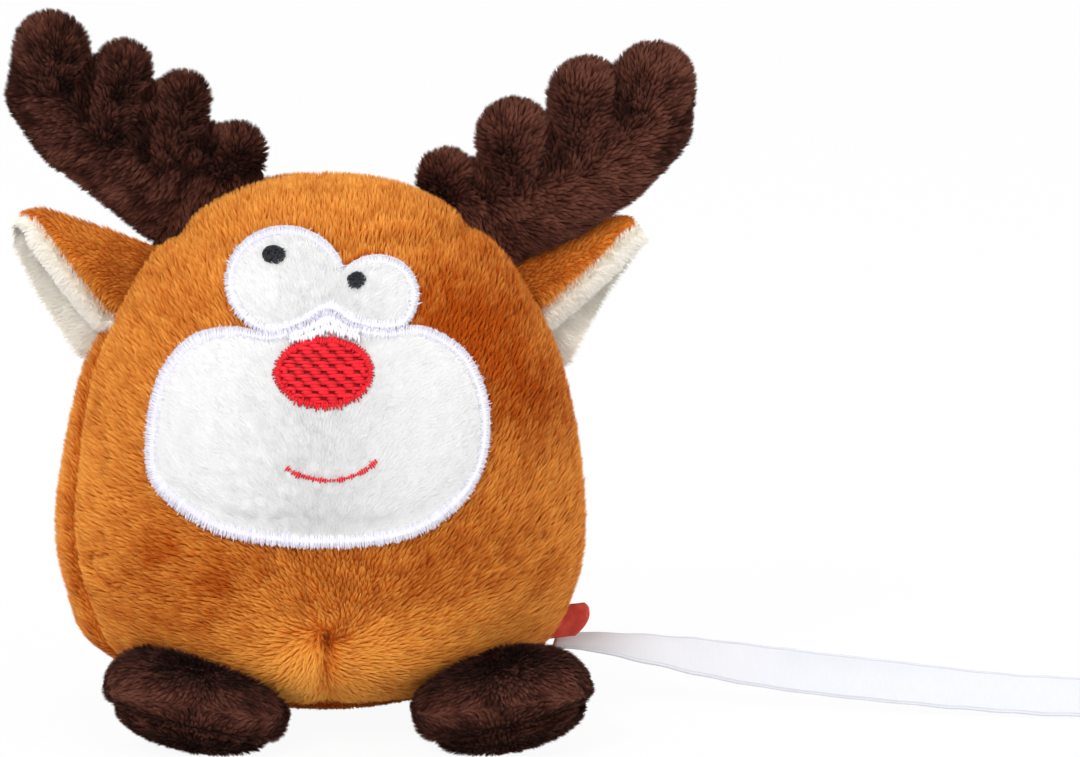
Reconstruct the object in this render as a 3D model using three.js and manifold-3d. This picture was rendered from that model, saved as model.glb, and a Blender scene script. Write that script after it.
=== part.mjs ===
// A small ball-shaped plush deer that sits on a table: a stuffed ball of sewn panels with an
// appliqué face, two lobed antlers, two folded ears, two puffy feet, a side label and a ribbon.
// Millimetres, +Z up. The face looks along -Y and the origin lies on the table under the ball.
import * as THREE from 'three';
import { mergeVertices } from 'three/addons/utils/BufferGeometryUtils.js';
import Module from 'manifold-3d';

const wasm = await Module();
wasm.setup();

// Sizes of the whole toy
const bodyHeight = 73;
const bodyWidth = 71;
const bodyDepth = 66;
const baseCut = 0.5;
const plushThickness = 2;
const seamGap = 0.3;
const fillGap = 0.3;
const rootGap = 0.4;
const flexGap = 0.15;
const cutReach = 220;
const weldDistance = 0.0005;

// The ball's half outline from the underside to the crown: shares of half width and of height
const bodyOutlineShares = [
  [0, 0], [0.22, 0.004], [0.385, 0.019], [0.55, 0.043], [0.71, 0.076], [0.85, 0.117],
  [0.937, 0.17], [0.986, 0.257], [1, 0.351], [0.989, 0.446], [0.956, 0.554], [0.893, 0.668],
  [0.795, 0.761], [0.674, 0.854], [0.493, 0.93], [0.274, 0.981], [0, 1],
];
const bodySides = 28;
const bodyRings = 18;
const fillingSides = 20;
const fillingRings = 12;

// The seam between the front panel and the back panels is a plane that leans and turns a little
const seamY = -2;
const seamHeight = 40;
const seamYawDegrees = 12;
const seamPitchDegrees = 11;
const dartLowHeight = 16;
const dartHighHeight = 69;
const basePanelRadius = 20;
const basePanelReach = 9;

// The face, seen from the front: centres, half widths and half heights
const faceX = -0.5;
const muzzleZ = 43;
const muzzleHalfWidth = 23.1;
const muzzleHalfHeight = 14.4;
const patchThickness = 1.2;
const borderThickness = 1.5;
const stitchThickness = 0.6;
const stitchRingThickness = 0.9;
const muzzleOuterShares = [
  [-0.465, 1], [-0.65, 0.93], [-0.77, 0.825], [-0.885, 0.61], [-0.96, 0.34], [-1, -0.03],
  [-0.995, -0.34], [-0.93, -0.55], [-0.76, -0.75], [-0.555, -0.89], [-0.265, -0.96],
  [0.05, -0.985], [0.4, -0.96], [0.655, -0.85], [0.855, -0.62], [0.965, -0.32], [1, 0.03],
  [0.965, 0.395], [0.87, 0.695], [0.74, 0.87], [0.585, 1], [0.39, 1.01], [0.195, 1.14],
  [0.07, 1.28], [-0.065, 1.14], [-0.27, 1],
];
const muzzleInnerShares = [
  [-0.44, 0.88], [-0.6, 0.82], [-0.71, 0.72], [-0.815, 0.53], [-0.885, 0.29], [-0.925, -0.04],
  [-0.92, -0.31], [-0.86, -0.48], [-0.7, -0.65], [-0.52, -0.78], [-0.25, -0.845],
  [0.05, -0.865], [0.38, -0.845], [0.61, -0.745], [0.79, -0.54], [0.89, -0.28], [0.925, 0.03],
  [0.89, 0.35], [0.8, 0.61], [0.68, 0.76], [0.56, 0.87], [0.39, 0.88], [0.21, 0.97],
  [0.07, 1.1], [-0.07, 0.97], [-0.27, 0.88],
];
const outlineSteps = 46;
const eyes = {
  left: { x: -4.9, z: 62.6, halfWidth: 8.3, halfHeight: 6.8 },
  right: { x: 7.2, z: 60.7, halfWidth: 6, halfHeight: 5.3 },
};
const eyeBridge = { x: 2, z: 60.2, halfWidth: 2.6, halfHeight: 2.2 };
const eyeBorderWidth = 1.5;
const eyeSides = 26;
const pupils = {
  left: { x: -6.3, z: 65.7, halfWidth: 1.7, halfHeight: 1.15 },
  right: { x: 4.8, z: 62.8, halfWidth: 1.4, halfHeight: 1 },
};
const pupilSides = 16;
const nose = { x: 0.6, z: 51.5, halfWidth: 6.8, halfHeight: 4.7 };
const noseBorderWidth = 1.2;
const mouth = { left: -4.4, right: 7.6, leftZ: 39.1, rightZ: 39.9, sag: 3.4, halfWidth: 0.35 };
const mouthSteps = 12;

// Antlers: a trunk and lobes, each a tapering stretch with round ends. Places and radii are
// shares of the antler's length, measured from the middle of its root towards the crown (x)
// and up (z), for an antler whose root is on the deer's other side of the crown.
const antlerLength = 34;
const antlerSkin = 0.7;
const antlerFlatShare = 0.82;
const antlerRootHalfThickness = 1.2;
const antlerRootSwell = 9;
const antlerPivotHeight = 2.5;
const antlerFlexDegrees = 25;
const lobeSides = 8;
const lobeInnerSides = 6;
const lobeCapRings = 2;
const antlers = {
  left: {
    side: -1, rootX: -15.1, rootZ: 68.2, rootSlopeDegrees: 31.9,
    stretchShares: [
      [0.08, 0.138, 0.153, -0.142, 0, 0.169],
      [-0.142, 0, 0.169, -0.361, 0.199, 0.177],
      [0, 0.12, 0.165, -0.361, 0.199, 0.177],
      [-0.361, 0.199, 0.177, -0.548, 0.34, 0.177],
      [-0.548, 0.34, 0.177, -0.658, 0.486, 0.169],
      [-0.658, 0.486, 0.169, -0.648, 0.655, 0.157],
      [0.05, 0.138, 0.15, 0.101, 0.251, 0.133],
      [-0.2, 0.2, 0.15, -0.114, 0.47, 0.121],
      [-0.45, 0.33, 0.16, -0.349, 0.59, 0.125],
    ],
    coreShares: [
      [0, 0.12, 0.16, -0.361, 0.19, 0.177],
      [-0.361, 0.19, 0.177, -0.62, 0.42, 0.17],
      [-0.62, 0.42, 0.17, -0.648, 0.655, 0.157],
      [-0.2, 0.2, 0.15, -0.114, 0.47, 0.121],
      [-0.45, 0.33, 0.16, -0.349, 0.59, 0.125],
    ],
  },
  right: {
    side: 1, rootX: 18.1, rootZ: 64.6, rootSlopeDegrees: 38.5,
    stretchShares: [
      [0.073, 0.112, 0.135, -0.166, 0.031, 0.169],
      [-0.166, 0.031, 0.169, -0.388, 0.165, 0.169],
      [0, 0.1, 0.15, -0.388, 0.165, 0.169],
      [-0.388, 0.165, 0.169, -0.617, 0.288, 0.177],
      [-0.617, 0.288, 0.177, -0.762, 0.438, 0.185],
      [-0.762, 0.438, 0.185, -0.79, 0.605, 0.177],
      [0.04, 0.112, 0.14, 0.064, 0.214, 0.129],
      [-0.25, 0.17, 0.15, -0.198, 0.398, 0.149],
      [-0.5, 0.27, 0.165, -0.484, 0.572, 0.145],
    ],
    coreShares: [
      [0, 0.1, 0.15, -0.388, 0.16, 0.169],
      [-0.388, 0.16, 0.169, -0.7, 0.37, 0.177],
      [-0.7, 0.37, 0.177, -0.79, 0.605, 0.177],
      [-0.25, 0.17, 0.15, -0.198, 0.398, 0.149],
      [-0.5, 0.27, 0.165, -0.484, 0.572, 0.145],
    ],
  },
};

// Ears: a leaf folded along its top edge. The flaps hang from the fold, the front one short
// and the back one long; shares of the fold's length, and of the back flap's depth at the root.
const earLayer = 0.7;
const earRootHalfSpread = 0.95;
const earHalfSpread = 2.1;
const earPivotHeight = 2.5;
const earFlexDegrees = 25;
const earSwellShare = 0.45;
const earBurialShare = 0.14;
const earStations = 8;
const earSectionSteps = 8;
const ears = {
  left: {
    foldX: -23.1, foldZ: 63.8, tipX: -42, tipZ: 69, dropDegrees: 236.3, rootDepth: 18.8,
    frontShares: [[0, 0.56], [0.5, 0.22], [0.78, 0.13], [1, 0.1]],
    backShares: [[0, 1], [0.25, 0.83], [0.5, 0.65], [0.8, 0.37], [1, 0.14]],
  },
  right: {
    foldX: 24.4, foldZ: 59, tipX: 42.6, tipZ: 67, dropDegrees: 303.8, rootDepth: 16,
    frontShares: [[0, 0.53], [0.5, 0.27], [0.75, 0.16], [1, 0.12]],
    backShares: [[0, 1], [0.25, 0.75], [0.5, 0.55], [0.75, 0.37], [1, 0.24]],
  },
};

// Feet: a puffy pad, rolled so that its outer end stands higher
const footHalfLength = 12;
const footHalfDepth = 10.6;
const footHalfHeight = 6.9;
const footY = -26.6;
const footSoleShare = -0.42;
const footCentreHeight = 6.9;
const footRollDegrees = 14;
const footSides = 16;
const footRings = 8;
const feet = { left: { side: -1, x: -16.9 }, right: { side: 1, x: 24 } };

// The woven label, folded in two, in the right side seam
const labelLength = 4.6;
const labelWidth = 3.9;
const labelLayer = 0.4;
const labelFold = 0.4;
const labelY = -3.3;
const labelZ = 11.3;
const labelTiltDegrees = 14;

// The satin ribbon, from the same seam to its bare end
const ribbonWidth = 6;
const ribbonThickness = 0.4;
const ribbonSteps = 36;
const ribbonRoute = [
  [31.5, -0.6, 8.9], [35, -1, 9], [39, -1.5, 9], [43, -2, 8.7], [48, -2.6, 8], [53, -3.2, 7.2],
  [58.5, -4, 6.4], [65, -4.7, 5.6], [72, -5.4, 4.9], [79, -6, 4.3], [86, -6.7, 3.8],
  [93, -7.3, 3.4], [98, -7.7, 3.2], [103, -8, 3.1], [108, -8.2, 3.1], [113, -8.4, 3.1],
  [118, -8.4, 3.1], [123, -8, 3.1], [127.4, -6.3, 3.1], [131.4, -2.8, 3.1], [133.6, 2, 3.1],
  [133.9, 7.2, 3.1], [131.9, 12, 3.1], [128, 15.7, 3.1], [123, 17.5, 3.1], [117.8, 17.3, 3.1],
  [113.2, 15, 3.1], [109.9, 11.2, 3.1], [108.6, 6.6, 3.1],
];

// Materials
const cloth = (color, roughness = 0.95) => new THREE.MeshStandardMaterial({
  color, roughness, metalness: 0,
});
const orangePlush = cloth(0xc8762d);
const brownPlush = cloth(0x3d231c);
const creamPlush = cloth(0xe8e2d6);
const whitePlush = cloth(0xf0f0f0);
const whiteSatin = cloth(0xf7f6fa, 0.5);
const redThread = cloth(0xe0283c, 0.55);
const blackThread = cloth(0x26282c, 0.6);
const redLabel = cloth(0xc83a2e, 0.7);
const ribbonSatin = cloth(0xf4f5f8, 0.35);
const fibreFill = cloth(0xf5f3ee);

// A closed mesh as a solid: vertices merged, slivers dropped, faces turned outwards
function solidFrom(positions, triangles) {
  const kept = [];
  let volume = 0;
  for (let i = 0; i < triangles.length; i += 3) {
    const [a, b, c] = [triangles[i], triangles[i + 1], triangles[i + 2]];
    if (a === b || b === c || c === a) continue;
    kept.push(a, b, c);
    const [p, q, r] = [a, b, c].map((v) => new THREE.Vector3().fromArray(positions, 3 * v));
    volume += p.dot(q.cross(r));
  }
  if (volume < 0) {
    for (let i = 0; i < kept.length; i += 3) [kept[i], kept[i + 1]] = [kept[i + 1], kept[i]];
  }
  return new wasm.Manifold(new wasm.Mesh({
    numProp: 3,
    vertProperties: Float32Array.from(positions),
    triVerts: Uint32Array.from(kept),
  }));
}

function solidOf(geometry) {
  const bare = geometry.clone();
  bare.deleteAttribute('normal');
  bare.deleteAttribute('uv');
  const merged = mergeVertices(bare, weldDistance);
  return solidFrom(merged.attributes.position.array, merged.index.array);
}

// The same solid with every vertex moved by a function that keeps it closed
function reshaped(solid, move) {
  const { vertProperties, triVerts } = solid.getMesh();
  const positions = [];
  for (let i = 0; i < vertProperties.length; i += 3) {
    const point = new THREE.Vector3().fromArray(vertProperties, i);
    move(point);
    positions.push(point.x, point.y, point.z);
  }
  return solidFrom(positions, triVerts);
}

const group = new THREE.Group();

function addPiece(name, solid, material) {
  const { vertProperties, triVerts } = solid.getMesh();
  const geometry = new THREE.BufferGeometry();
  geometry.setAttribute('position', new THREE.BufferAttribute(vertProperties, 3));
  geometry.setIndex(new THREE.BufferAttribute(triVerts, 1));
  geometry.computeVertexNormals();
  const mesh = new THREE.Mesh(geometry, material);
  mesh.name = name;
  group.add(mesh);
}

// Everything on the side of a plane that its normal points to
function halfSpace(point, normal) {
  const turn = new THREE.Quaternion().setFromUnitVectors(
    new THREE.Vector3(0, 0, 1), normal.clone().normalize());
  const block = new THREE.BoxGeometry(cutReach, cutReach, cutReach)
    .translate(0, 0, cutReach / 2).applyQuaternion(turn).translate(point.x, point.y, point.z);
  return solidOf(block);
}

// The ball grown outwards by a distance, or shrunk by a negative one
function bodyBall(growth, sides, rings) {
  const height = bodyHeight + baseCut;
  const outline = new THREE.SplineCurve(bodyOutlineShares.map(
    ([across, up]) => new THREE.Vector2(across * bodyWidth / 2, up * height - baseCut)));
  const points = [];
  for (let i = 0; i <= rings; i += 1) {
    const share = i / rings;
    const point = outline.getPointAt(share);
    const along = outline.getTangentAt(share);
    const end = i === 0 ? -1 : Number(i === rings);
    const normal = end === 0 ? new THREE.Vector2(along.y, -along.x) : new THREE.Vector2(0, end);
    point.addScaledVector(normal, growth);
    points.push(end === 0 ? point : new THREE.Vector2(0, point.y));
  }
  return new THREE.LatheGeometry(points, sides)
    .rotateX(Math.PI / 2).scale(1, bodyDepth / bodyWidth, 1);
}

const bodyForm = (growth, sides = bodySides, rings = bodyRings) => solidOf(
  bodyBall(growth, sides, rings));

const degrees = THREE.MathUtils.degToRad;
const seamLean = Math.tan(degrees(seamPitchDegrees));
const seamTurn = Math.tan(degrees(seamYawDegrees));
const seamNormal = new THREE.Vector3(-seamTurn, 1, -seamLean).normalize();
const seamDepthAt = (x, z) => seamY + seamTurn * x + seamLean * (z - seamHeight);
const aboveTable = halfSpace(new THREE.Vector3(), new THREE.Vector3(0, 0, 1));
const bodyWithRootGap = bodyForm(rootGap);

// A sewn-on piece cut clear of the ball where it sits and at both ends of its bending
function clearOfBall(piece, pivot, axis, limitDegrees) {
  let cut = piece.subtract(bodyWithRootGap);
  for (const limit of [-limitDegrees, limitDegrees]) {
    const ball = bodyBall(flexGap, bodySides, bodyRings).translate(-pivot.x, -pivot.y, -pivot.z)
      .applyQuaternion(new THREE.Quaternion().setFromAxisAngle(axis, -degrees(limit)))
      .translate(pivot.x, pivot.y, pivot.z);
    cut = cut.subtract(solidOf(ball));
  }
  return cut;
}

// Body panels: a shell cut by the side seam, the back seam and the round base seam
function makeBody() {
  const shell = bodyForm(0).subtract(bodyForm(-plushThickness));
  const base = (radius) => solidOf(
    new THREE.CylinderGeometry(radius, radius, basePanelReach + cutReach, bodySides)
      .rotateX(Math.PI / 2).scale(1, bodyDepth / bodyWidth, 1)
      .translate(0, 0, (basePanelReach - cutReach) / 2));
  const seamPoint = new THREE.Vector3(0, seamY, seamHeight);
  const halfGap = seamNormal.clone().multiplyScalar(seamGap / 2);
  const forward = seamNormal.clone().negate();
  const walls = shell.subtract(base(basePanelRadius + seamGap));
  const dart = new THREE.BoxGeometry(seamGap, cutReach, cutReach);
  const lowDart = dart.clone().translate(0, -cutReach / 2, dartLowHeight - cutReach / 2);
  const highDart = dart.clone().translate(0, -cutReach / 2, dartHighHeight + cutReach / 2);
  const front = walls.intersect(halfSpace(seamPoint.clone().sub(halfGap), forward))
    .subtract(solidOf(lowDart)).subtract(solidOf(highDart));
  const back = walls.intersect(halfSpace(seamPoint.clone().add(halfGap), seamNormal));
  const sideways = new THREE.Vector3(1, 0, 0);
  const rightEdge = sideways.clone().multiplyScalar(seamGap / 2);
  const leftEdge = rightEdge.clone().negate();
  addPiece('front_panel', front, orangePlush);
  addPiece('back_panel_left', back.intersect(halfSpace(leftEdge, leftEdge)), orangePlush);
  addPiece('back_panel_right', back.intersect(halfSpace(rightEdge, rightEdge)), orangePlush);
  addPiece('base_panel', shell.intersect(base(basePanelRadius)).intersect(aboveTable), orangePlush);
  const filling = bodyForm(-plushThickness - fillGap, fillingSides, fillingRings);
  addPiece('body_stuffing', filling, fibreFill);
}

// A block behind an outline that is drawn as seen from the front
function frontBlock(outlinePoints) {
  const block = new THREE.ExtrudeGeometry(new THREE.Shape(outlinePoints), {
    depth: cutReach, bevelEnabled: false,
  });
  return solidOf(block.rotateX(Math.PI / 2));
}

function roundOutline(shares, x, z, halfWidth, halfHeight, steps) {
  const curve = new THREE.CatmullRomCurve3(shares.map(
    ([across, up]) => new THREE.Vector3(x + across * halfWidth, z + up * halfHeight, 0)), true);
  return curve.getPoints(steps).slice(0, steps).map((p) => new THREE.Vector2(p.x, p.y));
}

function ovalOutline({ x, z, halfWidth, halfHeight }, growth, sides) {
  const points = [];
  for (let i = 0; i < sides; i += 1) {
    const angle = 2 * Math.PI * i / sides;
    points.push(new THREE.Vector2(
      x + (halfWidth + growth) * Math.cos(angle), z + (halfHeight + growth) * Math.sin(angle)));
  }
  return points;
}

const muzzleBlock = (shares, growth) => frontBlock(roundOutline(
  shares, faceX, muzzleZ, muzzleHalfWidth + growth, muzzleHalfHeight + growth, outlineSteps));
const ovalBlock = (oval, growth, sides) => frontBlock(ovalOutline(oval, growth, sides));
const faceLayer = (low, thickness) => bodyForm(low + thickness).subtract(bodyForm(low));

// Face: two plush patches on the front panel, their satin borders, and the stitched features
function makeFace() {
  const patchLayer = faceLayer(seamGap, patchThickness);
  const borderLayer = faceLayer(seamGap, borderThickness);
  const muzzleEdge = muzzleBlock(muzzleOuterShares, 0);
  const muzzleHole = muzzleBlock(muzzleInnerShares, 0);
  const clearOfMuzzle = muzzleBlock(muzzleOuterShares, seamGap);
  const eyePair = (growth) => ovalBlock(eyes.left, growth, eyeSides)
    .add(ovalBlock(eyes.right, growth, eyeSides))
    .add(ovalBlock(eyeBridge, growth + eyeBorderWidth, eyeSides));
  addPiece('muzzle_patch', patchLayer.intersect(muzzleBlock(muzzleInnerShares, -seamGap)),
    whitePlush);
  addPiece('muzzle_border', borderLayer.intersect(muzzleEdge.subtract(muzzleHole)), whiteSatin);
  addPiece('eye_patch', patchLayer.intersect(eyePair(-eyeBorderWidth - seamGap))
    .subtract(clearOfMuzzle), whitePlush);
  addPiece('eye_border', borderLayer.intersect(eyePair(0).subtract(eyePair(-eyeBorderWidth)))
    .subtract(clearOfMuzzle), whiteSatin);
  const onPatch = seamGap + patchThickness + seamGap;
  const stitchLayer = faceLayer(onPatch, stitchThickness);
  const ringLayer = faceLayer(onPatch, stitchRingThickness);
  addPiece('nose', stitchLayer.intersect(ovalBlock(nose, -noseBorderWidth - seamGap, eyeSides)),
    redThread);
  addPiece('nose_border', ringLayer.intersect(ovalBlock(nose, 0, eyeSides)
    .subtract(ovalBlock(nose, -noseBorderWidth, eyeSides))), redThread);
  for (const side of ['left', 'right']) {
    addPiece(`pupil_${side}`, stitchLayer.intersect(ovalBlock(pupils[side], 0, pupilSides)),
      blackThread);
  }
  const smile = new THREE.QuadraticBezierCurve(
    new THREE.Vector2(mouth.left, mouth.leftZ),
    new THREE.Vector2((mouth.left + mouth.right) / 2, mouth.leftZ - mouth.sag),
    new THREE.Vector2(mouth.right, mouth.rightZ));
  const lower = [];
  const upper = [];
  for (let i = 0; i <= mouthSteps; i += 1) {
    const point = smile.getPoint(i / mouthSteps);
    const along = smile.getTangent(i / mouthSteps);
    const aside = new THREE.Vector2(-along.y, along.x).multiplyScalar(mouth.halfWidth);
    upper.unshift(point.clone().add(aside));
    lower.push(point.clone().sub(aside));
  }
  addPiece('mouth', stitchLayer.intersect(frontBlock([...lower, ...upper])), redThread);
}

// A stretch with round ends that tapers from one radius to the other, in the XZ plane
function roundedStretch(x1, z1, radius1, x2, z2, radius2, sides) {
  const start = new THREE.Vector3(x1, 0, z1);
  const reach = new THREE.Vector3(x2, 0, z2).sub(start);
  const length = reach.length();
  const tangent = Math.asin((radius1 - radius2) / length);
  const points = [];
  for (let i = 0; i <= lobeCapRings; i += 1) {
    const angle = -Math.PI / 2 + (tangent + Math.PI / 2) * i / lobeCapRings;
    points.push(new THREE.Vector2(radius1 * Math.cos(angle), radius1 * Math.sin(angle)));
  }
  for (let i = 0; i <= lobeCapRings; i += 1) {
    const angle = tangent + (Math.PI / 2 - tangent) * i / lobeCapRings;
    points.push(new THREE.Vector2(radius2 * Math.cos(angle), length + radius2 * Math.sin(angle)));
  }
  points[0].x = 0;
  points[points.length - 1].x = 0;
  const turn = new THREE.Quaternion().setFromUnitVectors(
    new THREE.Vector3(0, 1, 0), reach.normalize());
  return solidOf(new THREE.LatheGeometry(points, sides)
    .applyQuaternion(turn).translate(start.x, start.y, start.z));
}

// One antler grown or shrunk by a distance, flattened, and pinched towards its sewn root
function antlerForm(antler, shareTable, growth, trim, sides) {
  const { side, rootX, rootZ, rootSlopeDegrees } = antler;
  const slope = degrees(rootSlopeDegrees);
  const growthWay = new THREE.Vector3(side * Math.sin(slope), 0, Math.cos(slope));
  const root = new THREE.Vector3(rootX, 0, rootZ);
  const solids = shareTable.map((shares) => {
    const [x1, z1, radius1, x2, z2, radius2] = shares.map((share) => share * antlerLength);
    return roundedStretch(-side * x1, z1, radius1 - antlerSkin + growth,
      -side * x2, z2, radius2 - antlerSkin + growth, sides);
  });
  const joined = solids.reduce((whole, solid) => whole.add(solid));
  const trimmed = joined.intersect(halfSpace(growthWay.clone().multiplyScalar(trim), growthWay));
  const trunkRadius = shareTable[0][5] * antlerLength - antlerSkin;
  const rootShare = antlerRootHalfThickness / (trunkRadius * antlerFlatShare);
  const seamDepth = seamDepthAt(rootX, rootZ);
  return reshaped(trimmed, (point) => {
    const rise = THREE.MathUtils.smoothstep(point.dot(growthWay), 0, antlerRootSwell);
    point.y *= antlerFlatShare * (rootShare + (1 - rootShare) * rise);
    point.add(root);
    point.y += seamDepth;
  });
}

function makeAntler(side) {
  const antler = antlers[side];
  const core = (inset) => antlerForm(antler, antler.coreShares, -inset, inset, lobeInnerSides);
  const middle = seamDepthAt(antler.rootX, antler.rootZ);
  const slope = degrees(antler.rootSlopeDegrees);
  const alongRoot = new THREE.Vector3(Math.cos(slope), 0, -antler.side * Math.sin(slope));
  const pivot = new THREE.Vector3(antler.rootX, middle, antler.rootZ).addScaledVector(
    new THREE.Vector3(antler.side * Math.sin(slope), 0, Math.cos(slope)), antlerPivotHeight);
  const outer = clearOfBall(
    antlerForm(antler, antler.stretchShares, 0, -antlerPivotHeight, lobeSides),
    pivot, alongRoot, antlerFlexDegrees);
  const shell = outer.subtract(core(plushThickness));
  const front = new THREE.Vector3(0, middle - seamGap / 2, 0);
  const back = new THREE.Vector3(0, middle + seamGap / 2, 0);
  const forward = new THREE.Vector3(0, -1, 0);
  addPiece(`antler_${side}_front`, shell.intersect(halfSpace(front, forward)), brownPlush);
  addPiece(`antler_${side}_back`, shell.intersect(halfSpace(back, forward.clone().negate())),
    brownPlush);
  addPiece(`antler_${side}_stuffing`, core(plushThickness + fillGap), fibreFill);
}

function shareAt(shares, place) {
  let i = 1;
  while (i < shares.length - 1 && shares[i][0] < place) i += 1;
  const [[x1, y1], [x2, y2]] = [shares[i - 1], shares[i]];
  return y1 + (y2 - y1) * (place - x1) / (x2 - x1);
}

// One layer of a folded ear: from one distance outside the leaf's middle to another
function earLayerSolid({ foldX, foldZ, tipX, tipZ, dropDegrees, rootDepth, frontShares,
  backShares }, near, far) {
  const drop = new THREE.Vector3(
    Math.cos(degrees(dropDegrees)), 0, Math.sin(degrees(dropDegrees)));
  const positions = [];
  const depthways = new THREE.Vector3(0, 1, 0);
  const middle = seamDepthAt(foldX, foldZ);
  for (let i = 0; i < earStations; i += 1) {
    const place = -earBurialShare + (1 + earBurialShare) * i / (earStations - 1);
    const along = Math.max(place, 0);
    const fold = new THREE.Vector3(
      foldX + place * (tipX - foldX), middle, foldZ + place * (tipZ - foldZ));
    const swell = THREE.MathUtils.smoothstep(place, 0, earSwellShare);
    const spread = earRootHalfSpread + (earHalfSpread - earRootHalfSpread) * swell;
    const frontDepth = rootDepth * shareAt(frontShares, along);
    const backDepth = rootDepth * shareAt(backShares, along);
    const section = new THREE.CatmullRomCurve3([
      new THREE.Vector3(-spread, Math.max(frontDepth, spread * 2), 0),
      new THREE.Vector3(-spread, Math.max(frontDepth / 2, spread), 0),
      new THREE.Vector3(0, 0, 0),
      new THREE.Vector3(spread, Math.max(backDepth / 2, spread), 0),
      new THREE.Vector3(spread, Math.max(backDepth, spread * 2), 0),
    ]);
    for (const distance of [near, far]) {
      for (let j = 0; j <= earSectionSteps; j += 1) {
        const point = section.getPoint(j / earSectionSteps);
        const way = section.getTangent(j / earSectionSteps);
        point.x += way.y * distance;
        point.y -= way.x * distance;
        const placed = fold.clone().addScaledVector(drop, point.y)
          .addScaledVector(depthways, point.x);
        positions.push(placed.x, placed.y, placed.z);
      }
    }
  }
  const ring = 2 * (earSectionSteps + 1);
  const around = [];
  for (let j = 0; j <= earSectionSteps; j += 1) around.push(j);
  for (let j = earSectionSteps; j >= 0; j -= 1) around.push(earSectionSteps + 1 + j);
  const triangles = [];
  for (let i = 0; i < earStations - 1; i += 1) {
    for (let j = 0; j < ring; j += 1) {
      const a = i * ring + around[j];
      const b = i * ring + around[(j + 1) % ring];
      triangles.push(a, b, b + ring, a, b + ring, a + ring);
    }
  }
  for (let j = 0; j < earSectionSteps; j += 1) {
    const low = j;
    const high = earSectionSteps + 1 + j;
    const last = (earStations - 1) * ring;
    triangles.push(low, high, high + 1, low, high + 1, low + 1);
    triangles.push(last + low, last + high + 1, last + high, last + low, last + low + 1,
      last + high + 1);
  }
  return solidFrom(positions, triangles);
}

function makeEar(side) {
  const { foldX, foldZ, dropDegrees, rootDepth } = ears[side];
  const alongRoot = new THREE.Vector3(
    Math.cos(degrees(dropDegrees)), 0, Math.sin(degrees(dropDegrees)));
  const outwards = new THREE.Vector3(-alongRoot.z, 0, alongRoot.x);
  if (outwards.x * foldX < 0) outwards.negate();
  const pivot = new THREE.Vector3(foldX, seamDepthAt(foldX, foldZ), foldZ)
    .addScaledVector(alongRoot, rootDepth / 2).addScaledVector(outwards, earPivotHeight);
  const layer = (near, far) => clearOfBall(
    earLayerSolid(ears[side], near, far), pivot, alongRoot, earFlexDegrees);
  addPiece(`ear_${side}_outer`, layer(seamGap / 2, seamGap / 2 + earLayer), orangePlush);
  addPiece(`ear_${side}_inner`, layer(-seamGap / 2 - earLayer, -seamGap / 2), creamPlush);
}

// One foot's puffy form, shrunk by an inset, before the body and the table cut it
function footForm({ side, x }, inset) {
  const form = new THREE.SphereGeometry(1, footSides, footRings).rotateX(Math.PI / 2)
    .scale(footHalfLength - inset, footHalfDepth - inset, footHalfHeight - inset)
    .rotateY(-side * degrees(footRollDegrees))
    .translate(x, footY, footCentreHeight - baseCut);
  return solidOf(form);
}

function makeFoot(side) {
  const foot = feet[side];
  const hollow = plushThickness + fillGap;
  const outer = footForm(foot, 0).subtract(bodyWithRootGap).intersect(aboveTable);
  const lining = footForm(foot, plushThickness).subtract(bodyForm(rootGap + plushThickness));
  const shell = outer.subtract(lining);
  const up = new THREE.Vector3(
    -foot.side * Math.sin(degrees(footRollDegrees)), 0, Math.cos(degrees(footRollDegrees)));
  const seam = new THREE.Vector3(foot.x, footY, footCentreHeight - baseCut)
    .addScaledVector(up, footSoleShare * footHalfHeight);
  const above = seam.clone().addScaledVector(up, seamGap / 2);
  const below = seam.clone().addScaledVector(up, -seamGap / 2);
  addPiece(`foot_${side}_upper`, shell.intersect(halfSpace(above, up)), brownPlush);
  addPiece(`foot_${side}_sole`, shell.intersect(halfSpace(below, up.clone().negate())),
    brownPlush);
  const filling = footForm(foot, hollow).subtract(bodyForm(rootGap + hollow));
  addPiece(`foot_${side}_stuffing`, filling, fibreFill);
}

// The label is a strip folded in two, with its fold outwards and its ends in the seam
function makeLabel() {
  const thickness = 2 * labelLayer + labelFold;
  const strip = new THREE.Shape();
  strip.moveTo(0, 0);
  strip.lineTo(labelLength - thickness / 2, 0);
  strip.absarc(labelLength - thickness / 2, thickness / 2, thickness / 2, -Math.PI / 2,
    Math.PI / 2, false);
  strip.lineTo(0, thickness);
  strip.lineTo(0, thickness - labelLayer);
  strip.lineTo(labelLength - thickness / 2, thickness - labelLayer);
  strip.absarc(labelLength - thickness / 2, thickness / 2, labelFold / 2, Math.PI / 2,
    -Math.PI / 2, true);
  strip.lineTo(0, labelLayer);
  const form = new THREE.ExtrudeGeometry(strip, {
    depth: labelWidth, bevelEnabled: false, curveSegments: 5,
  });
  const rootX = labelRootX();
  form.translate(0, 0, -labelWidth / 2).rotateY(-degrees(labelTiltDegrees))
    .translate(rootX, labelY, labelZ);
  addPiece('label', solidOf(form).subtract(bodyWithRootGap), redLabel);
}

// How far out the ball reaches at the label's height, less what the label hides in the seam
function labelRootX() {
  const { max } = bodyWithRootGap.intersect(halfSpace(
    new THREE.Vector3(0, 0, labelZ - labelWidth / 2), new THREE.Vector3(0, 0, -1))).boundingBox();
  return max[0];
}

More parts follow.
